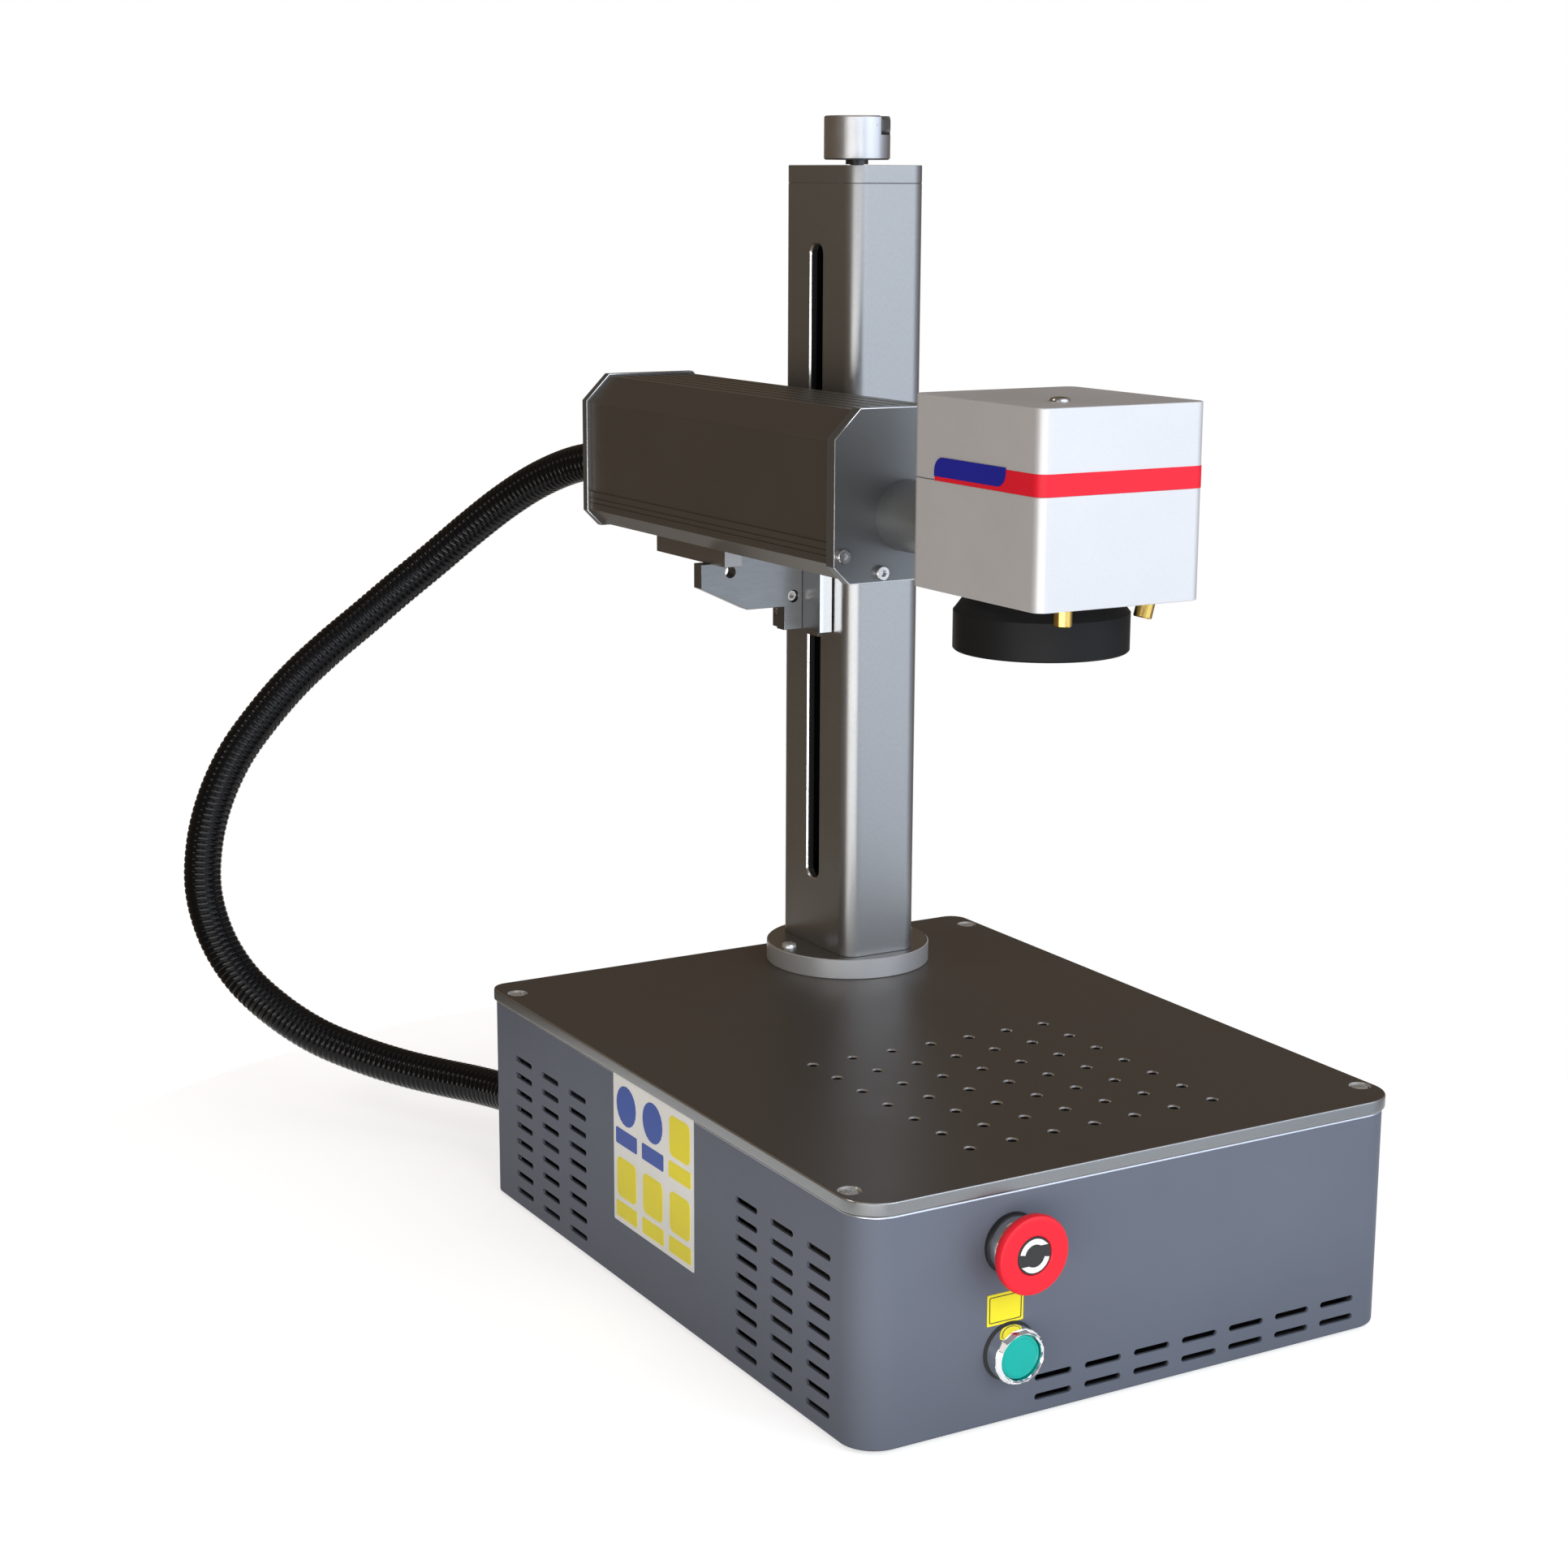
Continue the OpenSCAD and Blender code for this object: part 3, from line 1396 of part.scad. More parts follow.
// Route of the hose: a smooth curve through the points of the table
function route_at(u) =
  let (n = len(hose_route) - 1, i = min(floor(u), n - 1), t = u - i,
       a = hose_route[max(i - 1, 0)], b = hose_route[i], c = hose_route[i + 1],
       d = hose_route[min(i + 2, n)])
  ((2 * b) + (c - a) * t + (2 * a - 5 * b + 4 * c - d) * t * t
    + (3 * b - a - 3 * c + d) * t * t * t) / 2;
function unit(v) = v / norm(v);
fine = [for (k = [0 : (len(hose_route) - 1) * hose_fine]) route_at(k / hose_fine)];
function reach(k, s) = k == 0 ? [[0, 0]] :
  let (r = reach(k - 1, s), e = r[k - 1][0] + norm(fine[k] - fine[k - 1]))
  concat(r, [[e, k / hose_fine]]);
reach_table = reach(len(fine) - 1, 0);
hose_length = reach_table[len(fine) - 1][0];
function at_length(s) = route_at(lookup(s, reach_table));
// A direction that the hose never runs along, to set its rings by
hose_side = unit([0.5, 0.86, 0.05]);
function ring(s, r) =
  let (e = 0.5, p = at_length(s),
       t = s < hose_d / 2 ? [0, 1, 0] : s > hose_length - hose_d / 2 ? [0, -1, 0]
         : unit(at_length(s + e) - at_length(s - e)),
       a = unit(cross(t, hose_side)), b = cross(a, t))
  [for (k = [0 : hose_sides - 1]) p + r * (a * cos(k * 360 / hose_sides) + b * sin(k * 360 / hose_sides))];

module cable_hose() {
  n = 2 * hose_ribs;
  m = hose_ribs / 2;
  outer = [for (i = [0 : n]) each ring(hose_length * i / n, hose_d / 2 - (i % 2 == 0 ? valley : 0))];
  bore = [for (i = [0 : m]) each ring(hose_length * i / m, hose_d / 2 - valley - hose_wall)];
  k = hose_sides;
  base = len(outer);
  skin = [for (i = [0 : n - 1]) for (j = [0 : k - 1])
    [i * k + j, i * k + (j + 1) % k, (i + 1) * k + (j + 1) % k, (i + 1) * k + j]];
  inside = [for (i = [0 : m - 1]) for (j = [0 : k - 1])
    [base + i * k + j, base + (i + 1) * k + j, base + (i + 1) * k + (j + 1) % k,
      base + i * k + (j + 1) % k]];
  start = [for (j = [0 : k - 1]) [j, base + j, base + (j + 1) % k, (j + 1) % k]];
  finish = [for (j = [0 : k - 1])
    [n * k + j, n * k + (j + 1) % k, base + m * k + (j + 1) % k, base + m * k + j]];
  color([0.07, 0.07, 0.08])
    polyhedron(points = concat(outer, bore), faces = concat(skin, inside, start, finish), convexity = 10);
}

echo(hose_length = hose_length);

cabinet_shell();
bottom_pan();
foot_pads();
corner_posts();
table_plate();
table_screws();
column_flange();
column_tube();
column_foot_block();
column_bolts();
column_cap();
screw_bearings();
guide_rods();
lead_screw();
hand_knob();
crank_pin();
crank_lever();
carriage();
lead_nut();
slide_plate();
clamp_block();
bracket_arm();
mount_rail();
housing_body();
housing_front_plate();
housing_rear_plate();
head_screws();
head_gland();
collimator();
beam_tube();
galvo_base();
galvo_cover();
galvo_stripe();
galvo_badge();
motor_bracket();
galvo_motor_x();
galvo_motor_y();
mirror_x();
mirror_y();
lens_barrel();
lens_glass();
pointer_left();
pointer_right();
stop_base();
stop_plunger();
stop_head();
start_bezel();
start_button();
panel_labels();
laser_source();
power_supply();
control_board();
fan_frame();
fan_rotor();
fan_guard();
power_inlet();
rocker_switch();
usb_socket();
cabinet_gland();
cable_hose();
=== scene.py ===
# %% [markdown]
# # A bench laser marking machine
# The machine is a painted steel cabinet with a dark table plate, an aluminium lift column, a beam
# housing that hangs on the column, a scan head with its lens, and a ribbed cable hose. The packed
# CAD model is loaded first. Each visible part is then built again with its real edges, or keeps its
# CAD shape and gets a finish.

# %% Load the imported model
import math
import bmesh
import bpy
from mathutils import Matrix, Vector


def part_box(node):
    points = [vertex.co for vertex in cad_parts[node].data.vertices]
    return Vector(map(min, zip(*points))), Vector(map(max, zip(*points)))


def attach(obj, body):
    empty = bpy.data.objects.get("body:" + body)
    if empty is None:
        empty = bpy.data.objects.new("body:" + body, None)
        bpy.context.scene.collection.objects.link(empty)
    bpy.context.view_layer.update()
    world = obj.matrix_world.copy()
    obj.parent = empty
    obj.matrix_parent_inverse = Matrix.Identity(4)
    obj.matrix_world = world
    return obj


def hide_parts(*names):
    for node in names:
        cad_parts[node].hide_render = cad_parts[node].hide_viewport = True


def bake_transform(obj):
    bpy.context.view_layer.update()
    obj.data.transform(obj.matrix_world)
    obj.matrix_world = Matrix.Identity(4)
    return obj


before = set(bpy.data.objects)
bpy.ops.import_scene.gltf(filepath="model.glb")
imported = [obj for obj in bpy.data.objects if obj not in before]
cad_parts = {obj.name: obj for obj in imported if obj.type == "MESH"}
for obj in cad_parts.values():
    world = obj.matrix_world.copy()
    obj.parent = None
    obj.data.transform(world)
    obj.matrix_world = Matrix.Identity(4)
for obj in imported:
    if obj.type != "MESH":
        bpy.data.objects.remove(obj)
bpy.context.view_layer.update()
MM = 0.001

# %% [markdown]
# ## Camera
# The photograph was taken from the left and a little above, with a fairly long lens. Its place was
# worked out from the grid of fixture holes. The camera's three axes are written as the columns of
# its matrix, because a camera looks along its own minus Z.

# %% Camera
camera_place = Vector((-802.14, -1231.41, 589.97)) * MM
camera_turn = math.radians(-30.195)
camera_lift = math.radians(12.315)
camera_roll = math.radians(0.244)
camera_lens = 63.787

backward = Vector((math.sin(camera_turn) * math.cos(camera_lift),
                   -math.cos(camera_turn) * math.cos(camera_lift), math.sin(camera_lift)))
rightward = Vector((math.cos(camera_turn), math.sin(camera_turn), 0))
upward = backward.cross(rightward)
turned_right = rightward * math.cos(camera_roll) + upward * math.sin(camera_roll)
turned_up = upward * math.cos(camera_roll) - rightward * math.sin(camera_roll)

camera = bpy.data.objects.new("camera", bpy.data.cameras.new("camera"))
bpy.context.scene.collection.objects.link(camera)
axes = Matrix((turned_right, turned_up, backward)).transposed().to_4x4()
camera.matrix_world = Matrix.Translation(camera_place) @ axes
camera.data.lens = camera_lens
camera.data.sensor_width = 36
camera.data.sensor_fit = "HORIZONTAL"
camera.data.clip_end = 20
bpy.context.scene.camera = camera
print("camera at", [round(v, 3) for v in camera_place])

# %% [markdown]
# ## Shader expressions
# A finish is a small sum of textures. Two helpers keep it readable: a value stands for one output of
# a node and understands + - *, and a finish adds any node in one call.

# %% Shader helpers
class Value:
    """One output socket of a finish's node tree, for use in sums."""

    def __init__(self, finish, socket):
        self.finish = finish
        self.socket = socket

    def math(self, operation, other=None):
        return self.finish.node("ShaderNodeMath", {"operation": operation}, {0: self, 1: other})

    def __add__(self, other):
        return self.math("ADD", other)

    __radd__ = __add__

    def __sub__(self, other):
        return self.math("SUBTRACT", other)

    def __mul__(self, other):
        return self.math("MULTIPLY", other)

    __rmul__ = __mul__

class Finish:
    """A material, or the world, whose nodes are added one by one."""

    def __init__(self, name, owner=None):
        self.material = owner or bpy.data.materials.new(name)
        self.material.use_nodes = True
        self.tree = self.material.node_tree
        self.tree.nodes.clear()

    def node(self, kind, settings=None, sockets=None, output=0):
        node = self.tree.nodes.new(kind)
        for key, value in (settings or {}).items():
            setattr(node, key, value)
        for key, value in (sockets or {}).items():
            if isinstance(value, Value):
                self.tree.links.new(value.socket, node.inputs[key])
            elif value is not None:
                node.inputs[key].default_value = value
        return Value(self, node.outputs[output]) if len(node.outputs) else None

    def place(self):
        return self.node("ShaderNodeTexCoord", output="Object")

    def axis(self, name):
        return self.node("ShaderNodeSeparateXYZ", None, {0: self.place()}, output=name)

    def rays(self):
        """Whether the camera looks, whether a mirrored ray does, and whether a ray through glass does."""
        return [self.node("ShaderNodeLightPath", output=f"Is {kind} Ray")
                for kind in ("Camera", "Glossy", "Transmission")]

    def noise(self, scale, detail=3, stretch=(1, 1, 1), rough=0.55):
        """Soft random pattern; scale is in features per metre."""
        where = self.node("ShaderNodeMapping", None, {"Vector": self.place(), "Scale": stretch})
        return self.node("ShaderNodeTexNoise", None, {
            "Vector": where, "Scale": scale, "Detail": detail, "Roughness": rough})

    def mix(self, factor, first, second):
        """Colour between first and second."""
        return self.node("ShaderNodeMix", {"data_type": "RGBA"}, {
            "Factor": factor, 6: first, 7: second}, output=2)

    def bump(self, height, strength, distance):
        return self.node("ShaderNodeBump", None, {
            "Height": height, "Strength": strength, "Distance": distance})

    def surface(self, **sockets):
        """Ends the finish with a Principled shader whose sockets are given by name."""
        named = {key.replace("_", " "): value for key, value in sockets.items()}
        shader = self.node("ShaderNodeBsdfPrincipled", None, named)
        self.node("ShaderNodeOutputMaterial", None, {"Surface": shader})
        return self.material


# %% [markdown]
# ## Finishes of metal and paint
# Sheet steel is sprayed, so its paint has a faint orange peel. The table and the housing are black
# anodised aluminium, which is a satin metal with a very fine grain. Machined edges are left bright.
# Each finish varies a little in colour and gloss over the surface, at the scale of the real thing.

# %% Painted and anodised finishes
def shade(colour, share=1.0):
    """Colour made darker or lighter, as the four values of a socket."""
    return tuple(c * share for c in colour) + (1,)


def sprayed_paint(name, colour, gloss, shine=0.5, metal=0.0):
    f = Finish(name)
    cloud = f.noise(9, 3)
    return f.surface(Base_Color=f.mix(cloud, shade(colour, 0.88), shade(colour, 1.1)),
                     Roughness=gloss + 0.08 * cloud, Specular_IOR_Level=shine, Metallic=metal,
                     Normal=f.bump(f.noise(420, 2), 0.22, 0.4 * MM))


def anodised(name, colour, metal, rough, grain=1600, stretch=(1, 1, 1), depth=0.12, shine=0.5):
    f = Finish(name)
    speck = f.noise(grain, 2, stretch)
    cloud = f.noise(14, 4)
    tone = f.mix(speck * 0.6 + cloud * 0.4, shade(colour, 0.82), shade(colour, 1.16))
    return f.surface(Base_Color=tone, Metallic=metal, Roughness=rough + 0.14 * (cloud - 0.5),
                     Specular_IOR_Level=shine, Normal=f.bump(speck, depth, 0.1 * MM))


def turned_metal(name, colour, rough, centre):
    """Metal from a lathe: fine rings round an upright axis, on the faces and along the sides."""
    f = Finish(name)
    ring_pitch = 0.4 * MM
    x = f.axis("X") - centre.x
    y = f.axis("Y") - centre.y
    radius = (x * x + y * y).math("SQRT")
    rings = ((radius + f.axis("Z")) * (2 * math.pi / ring_pitch)).math("SINE")
    cloud = f.noise(60, 3)
    return f.surface(Base_Color=f.mix(cloud, shade(colour, 0.86), shade(colour)), Metallic=1.0,
                     Roughness=rough + 0.1 * cloud, Normal=f.bump(rings, 0.12, 0.05 * MM))


case_paint = sprayed_paint("case_paint", (0.165, 0.183, 0.226), 0.36, shine=0.02, metal=0.1)
# Light metal finish for the painted sheet's top rim: a painted highlight line along the cabinet's top edge.
case_rim_painted_highlight = anodised("case_rim_painted_highlight", (0.6, 0.63, 0.7), 0.9, 0.3, 900)
pan_paint = sprayed_paint("pan_paint", (0.02, 0.021, 0.024), 0.5)
table_black = anodised("table_black", (0.115, 0.1, 0.086), 0.45, 0.38, 2200)
table_side = anodised("table_side", (0.27, 0.28, 0.285), 0.9, 0.32, 1600)
housing_black = anodised("housing_black", (0.15, 0.135, 0.115), 0.7, 0.4, 1800)
plate_black = anodised("plate_black", (0.172, 0.18, 0.185), 0.7, 0.36, 1800)
column_silver = anodised("column_silver", (0.36, 0.365, 0.37), 0.92, 0.34, 1300, (1, 1, 0.35), 0.1)
# Near-black finish for the tube's inner faces: painted shade inside the column.
column_inside_painted_shade = anodised("column_inside_painted_shade", (0.02, 0.02, 0.02), 0.3, 0.6)
head_silver = anodised("head_silver", (0.72, 0.72, 0.725), 0.35, 0.42, 2600, depth=0.2)
bracket_silver = anodised("bracket_silver", (0.22, 0.223, 0.227), 0.9, 0.34, 900, (0.15, 1, 1), 0.1)
bright_edge = anodised("bright_edge", (0.8, 0.81, 0.83), 1.0, 0.22, 2000)
flange_grey = anodised("flange_grey", (0.32, 0.31, 0.3), 0.92, 0.34, 1500)
# The flange's outer side is a lighter copy of its metal with a turned grain. The grain is real; the lighter
# tone is a painted highlight.
flange_turned_side_painted_highlight = anodised("flange_turned_side_painted_highlight", (0.66, 0.67, 0.68), 0.6, 0.36, 1200, (1, 1, 8))
zinc = anodised("zinc", (0.78, 0.78, 0.77), 0.7, 0.26, 1200)
lens_black = anodised("lens_black", (0.012, 0.012, 0.0125), 0.0, 0.5, 2400, depth=0.05, shine=0.15)
sleeve_black = anodised("sleeve_black", (0.27, 0.28, 0.285), 0.7, 0.38, 1800)
steel_bright = anodised("steel_bright", (0.62, 0.61, 0.6), 1.0, 0.24, 1500)
collar_dark = anodised("collar_dark", (0.1, 0.1, 0.105), 0.9, 0.28, 1500)
# Dark steel for the column bolts, also used as painted shade on the walls of the table's holes.
dark_steel_and_hole_shade = anodised("dark_steel_and_hole_shade", (0.05, 0.05, 0.052), 0.8, 0.35, 1500)
brass = anodised("brass", (0.72, 0.5, 0.14), 1.0, 0.24, 1500)
print("painted and metal finishes made")

# %% [markdown]
# ## Finishes of plastic, film, glass and rubber
# The stop button and the films are glossy, the glands and sockets are moulded with a fine grain, and
# the hose is a shiny black polymer with a slight bloom of dust.

# %% Plastic and other finishes
def moulded(name, colour, rough, grain=900, depth=0.06, coat=0.0, shine=0.5):
    f = Finish(name)
    cloud = f.noise(25, 3)
    return f.surface(Base_Color=f.mix(cloud, shade(colour, 0.88), shade(colour, 1.1)),
                     Roughness=rough + 0.08 * cloud, Coat_Weight=coat, Coat_Roughness=0.08,
                     Specular_IOR_Level=shine, Normal=f.bump(f.noise(grain, 2), depth, 0.1 * MM))


def clear_glass(name, colour):
    f = Finish(name)
    cloud = f.noise(40, 2)
    tone = f.mix(cloud, shade(colour), shade(colour, 1.15))
    return f.surface(Base_Color=tone, Roughness=0.03 + 0.02 * cloud, IOR=1.5, Transmission_Weight=0.85,
                     Coat_Weight=0.6, Coat_Roughness=0.02)


def chromed(name):
    f = Finish(name)
    cloud = f.noise(80, 3)
    return f.surface(Base_Color=f.mix(cloud, (0.78, 0.79, 0.8, 1), (0.9, 0.9, 0.91, 1)), Metallic=1.0,
                     Roughness=0.06 + 0.06 * cloud)


def circuit_board(name):
    f = Finish(name)
    cells = f.node("ShaderNodeTexBrick", {"offset": 0.5}, {
        "Vector": f.place(), "Scale": 90.0, "Mortar Size": 0.06, "Color1": (0.01, 0.07, 0.03, 1),
        "Color2": (0.015, 0.1, 0.04, 1), "Mortar": (0.1, 0.16, 0.06, 1)})
    return f.surface(Base_Color=cells, Roughness=0.35 + 0.1 * f.noise(300))


red_plastic = moulded("red_plastic", (0.95, 0.012, 0.032), 0.42, shine=0.4)
green_plastic = moulded("green_plastic", (0.0, 0.5, 0.42), 0.32, coat=0.15, shine=0.3)
black_plastic = moulded("black_plastic", (0.016, 0.016, 0.017), 0.36)
rubber = moulded("rubber", (0.02, 0.02, 0.02), 0.62, 600, 0.2)
hose_black = moulded("hose_black", (0.004, 0.004, 0.0045), 0.08, 500, 0.05, shine=0.2)
red_film = moulded("red_film", (0.9, 0.014, 0.036), 0.35, 2000, 0.02, shine=0.25)
blue_film = moulded("blue_film", (0.016, 0.02, 0.36), 0.35, 2000, 0.02, shine=0.25)
white_print = moulded("white_print", (0.97, 0.97, 0.94), 0.4, 2000, 0.02)
blue_print = moulded("blue_print", (0.02, 0.08, 0.42), 0.4, 2000, 0.02)
yellow_print = moulded("yellow_print", (1.0, 0.87, 0.03), 0.38, 2000, 0.02, shine=0.3)
black_print = moulded("black_print", (0.02, 0.02, 0.02), 0.4, 2000, 0.02)
chrome = chromed("chrome")
scan_mirror = chromed("scan_mirror")
lens_glass = clear_glass("lens_glass", (0.55, 0.5, 0.75))
board_green = circuit_board("board_green")
print("plastic, film and glass finishes made")

# %% [markdown]
# ## Modelling helpers
# Most parts are plates, blocks and turned pieces. A block is a cube whose upright edges are bevelled
# to the corner radius and whose rims are bevelled a little, as a deburred edge is. A plate is an
# outline that is extruded. A turned piece is a half profile that is spun. Holes are taken out with an
# exact Boolean, which is put into the mesh at once. Pieces take their places from the CAD nodes.

# %% Modelling helpers
def mm(*points):
    """Points of a profile or an outline, given in millimetres."""
    return [(a * MM, b * MM) for a, b in points]


def flat_edge(edge, z):
    return all(abs(v.co.z - z) < 1e-7 for v in edge.verts)


def bevel(bm, edges, width, segments):
    return bmesh.ops.bevel(bm, geom=edges, offset=width, offset_type="OFFSET", segments=segments, profile=0.5,
                           affect="EDGES", material=-1, clamp_overlap=True)


def round_rims(bm, width, segments=2):
    """Bevels the top and bottom rims of an upright solid."""
    low = min(v.co.z for v in bm.verts)
    high = max(v.co.z for v in bm.verts)
    rims = [e for e in bm.edges if flat_edge(e, low) or flat_edge(e, high)]
    rims = [e for e in rims if abs(e.calc_face_angle(0)) > 0.5]
    return bevel(bm, rims, width, segments)


def block(size, radius=0.0, rim=0.0, segments=10, rim_segments=2, back_radius=None):
    """Box on z = 0 with rounded upright edges and softened rims."""
    bm = bmesh.new()
    bmesh.ops.create_cube(bm, size=1)
    bmesh.ops.scale(bm, vec=size, verts=bm.verts)
    bmesh.ops.translate(bm, vec=(0, 0, size[2] / 2), verts=bm.verts)
    upright = [e for e in bm.edges if abs(e.verts[0].co.z - e.verts[1].co.z) > 1e-6]
    if back_radius:
        bevel(bm, [e for e in upright if e.verts[0].co.y > 0], back_radius, segments)
        upright = [e for e in upright if e.is_valid and e.verts[0].co.y < 0]
    if radius:
        bevel(bm, upright, radius, segments)
    if rim:
        round_rims(bm, rim, rim_segments)
    return bm


def plate(outline, thick, rim=0.0, rim_segments=2):
    """Outline in X and Y, extruded up by its thickness."""
    bm = bmesh.new()
    face = bm.faces.new([bm.verts.new((x, y, 0)) for x, y in outline])
    face.normal_update()
    if face.normal.z > 0:
        face.normal_flip()
    grown = bmesh.ops.extrude_face_region(bm, geom=[face])
    top = [v for v in grown["geom"] if isinstance(v, bmesh.types.BMVert)]
    bmesh.ops.translate(bm, vec=(0, 0, thick), verts=top)
    bmesh.ops.recalc_face_normals(bm, faces=bm.faces)
    if rim:
        round_rims(bm, rim, rim_segments)
    return bm


def turned(profile, steps=64):
    """Half profile of (radius, height) points, spun round Z. One that ends where it starts is hollow."""
    bm = bmesh.new()
    points = [bm.verts.new((r, 0, z)) for r, z in profile]
    edges = [bm.edges.new(pair) for pair in zip(points, points[1:])]
    bmesh.ops.spin(bm, geom=points + edges, cent=(0, 0, 0), axis=(0, 0, 1), angle=2 * math.pi, steps=steps,
                   use_merge=True)
    bmesh.ops.remove_doubles(bm, verts=bm.verts, dist=1e-7)
    bmesh.ops.recalc_face_normals(bm, faces=bm.faces)
    return bm


def rod(diameter, length, rim=0.0, steps=48):
    """Solid cylinder on z = 0 with softened ends."""
    r = diameter / 2
    return turned([(0, 0), (r - rim, 0), (r, rim), (r, length - rim), (r - rim, length), (0, length)], steps)


def ring(outer, inner, length, rim=0.0, steps=64):
    """Tube on z = 0 with softened ends."""
    a, b = inner / 2, outer / 2
    return turned([(a, rim), (a + rim, 0), (b - rim, 0), (b, rim), (b, length - rim), (b - rim, length),
                   (a + rim, length), (a, length - rim), (a, rim)], steps)


def moved(bm, x=0.0, y=0.0, z=0.0, turn=None):
    """Turns a shape about the zero point and then shifts it."""
    if turn:
        bmesh.ops.transform(bm, matrix=turn.to_4x4(), verts=bm.verts)
    bmesh.ops.translate(bm, vec=(x, y, z), verts=bm.verts)
    return bm


def to_mesh(bm, name="work"):
    mesh = bpy.data.meshes.new(name)
    bm.to_mesh(mesh)
    bm.free()
    return mesh


def joined(*shapes):
    """One bmesh that holds several shapes."""
    bm = bmesh.new()
    for shape in shapes:
        mesh = to_mesh(shape)
        bm.from_mesh(mesh)
        bpy.data.meshes.remove(mesh)
    return bm


def cut(bm, cutter):
    """The shape with the cutter's volume taken away."""
    work = bpy.data.objects.new("work", to_mesh(bm))
    tool = bpy.data.objects.new("tool", to_mesh(cutter))
    for obj in (work, tool):
        bpy.context.scene.collection.objects.link(obj)
    change = work.modifiers.new("cut", "BOOLEAN")
    change.operation = "DIFFERENCE"
    change.solver = "EXACT"
    change.object = tool
    done = bpy.data.meshes.new_from_object(work.evaluated_get(bpy.context.evaluated_depsgraph_get()))
    result = bmesh.new()
    result.from_mesh(done)
    bpy.data.meshes.remove(done)
    for obj in (work, tool):
        mesh = obj.data
        bpy.data.objects.remove(obj)
        bpy.data.meshes.remove(mesh)
    bmesh.ops.remove_doubles(result, verts=result.verts, dist=1e-6)
    return result


def drilled(bm, diameter, depth, x, y, z, turn=None):
    """The shape with a round hole that starts at a place and runs along the turned Z."""
    return cut(bm, moved(rod(diameter, depth), x, y, z, turn))


def paint(bm, index, test=lambda centre, normal: True):
    """Gives the faces that pass the test another of the piece's finishes."""
    bm.normal_update()
    for face in bm.faces:
        if test(face.calc_center_median(), face.normal):
            face.material_index = index
    return bm


LYING_BACK = Matrix.Rotation(-math.pi / 2, 3, "X")    # z becomes y
LYING_RIGHT = Matrix.Rotation(math.pi / 2, 3, "Y")    # z becomes x
FACING_FRONT = Matrix.Rotation(math.pi / 2, 3, "X")   # z becomes minus y
FACING_RIGHT = Matrix(((0, 0, 1), (1, 0, 0), (0, 1, 0)))      # z becomes x, and y stands up
FACING_LEFT = Matrix(((0, 0, -1), (-1, 0, 0), (0, 1, 0)))     # z becomes minus x, and y stands up
piece_count = []


def piece(name, bm, finishes, body, node=None, sharp=35):
    """Finishes a shape as one object, attached to its body if it has one."""
    obj = bpy.data.objects.new(name, to_mesh(bm, name))
    bpy.context.scene.collection.objects.link(obj)
    for finish in finishes if isinstance(finishes, (list, tuple)) else [finishes]:
        obj.data.materials.append(finish)
    obj.data.shade_smooth()
    obj.data.set_sharp_from_angle(angle=math.radians(sharp))
    even = obj.modifiers.new("even_normals", "WEIGHTED_NORMAL")
    even.keep_sharp = True
    if body:
        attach(obj, body)
    if node:
        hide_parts(node)
    piece_count.append(name)
    return obj


def corners(node):
    """Lowest corner, highest corner and middle of a CAD node, as vectors."""
    low, high = (Vector(c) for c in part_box(node))
    return low, high, (low + high) / 2


def filling(node, radius=0.0, rim=0.0, segments=10, rim_segments=2):
    """Block as large as a CAD node's box, in its place."""
    low, high, mid = corners(node)
    return moved(block(high - low, radius, rim, segments, rim_segments), mid.x, mid.y, low.z)


print("helpers ready")

# %% [markdown]
# ## The cable hose
# A ribbed hose carries the fibre and the cables from the head to the cabinet. It leaves the housing
# straight back, bows out to the left under its own stiffness and comes back to the cabinet's rear.
# The route repeats the one in the part's source. A smooth curve runs through its points, and a wavy
# profile is swept along it, one wave for each rib.

# %% Hose
hose_outer = 23.5 * MM
hose_ribs = 200
rib_depth = 0.6 * MM
hose_sides = 28
hose_look = 4 * MM
rib_share = [(0.0, 1.0), (0.1, 0.5), (0.22, 0.12), (0.5, 0.0), (0.78, 0.12), (0.9, 0.5)]
head_exit = Vector((-20, 298, 418)) * MM
case_exit = Vector((-126, 224.5, 40)) * MM
hose_route = [head_exit, head_exit + Vector((-3, 30.5, -1)) * MM]
hose_route += [Vector(p) * MM for p in (
    (-32, 356.5, 412), (-44.5, 382, 401), (-59, 404, 385.5), (-76, 421.5, 367), (-95.5, 434, 347.5),
    (-118.5, 441, 328.5), (-142.5, 444, 310), (-167, 444.5, 292.5), (-191.5, 443.5, 273.5),
    (-213.5, 442, 252.5), (-233, 441.5, 229), (-247.5, 441, 202), (-256, 440.5, 173),
    (-258.5, 438, 143), (-253, 431.5, 113.5), (-241.5, 419, 88.5), (-225, 402, 69), (-207, 382, 55),
    (-188, 359.5, 46.5), (-170, 335.5, 41.5),
    (-153.5, 310.5, 39.5), (-139, 283.5, 39.5))]
hose_route += [case_exit + Vector((-3, 30.5, 0)) * MM, case_exit]


def on_route(u):
    """Point of the smooth curve that passes through the route's points."""
    last = len(hose_route) - 1
    i = min(int(u), last - 1)
    t = u - i
    a, b, c, d = (hose_route[min(max(k, 0), last)] for k in (i - 1, i, i + 1, i + 2))
    square = 2 * a - 5 * b + 4 * c - d
    cube = 3 * b - a - 3 * c + d
    return 0.5 * (2 * b + (c - a) * t + square * t * t + cube * t ** 3)


fine_steps = 400
fine = [on_route(k / fine_steps * (len(hose_route) - 1)) for k in range(fine_steps + 1)]
reach = [0.0]
for a, b in zip(fine, fine[1:]):
    reach.append(reach[-1] + (b - a).length)
hose_length = reach[-1]


def along(s):
    """Point at that length along the hose."""
    k = max(1, next((i for i, r in enumerate(reach) if r >= s), fine_steps))
    t = (s - reach[k - 1]) / (reach[k] - reach[k - 1])
    return fine[k - 1].lerp(fine[k], min(1, t))


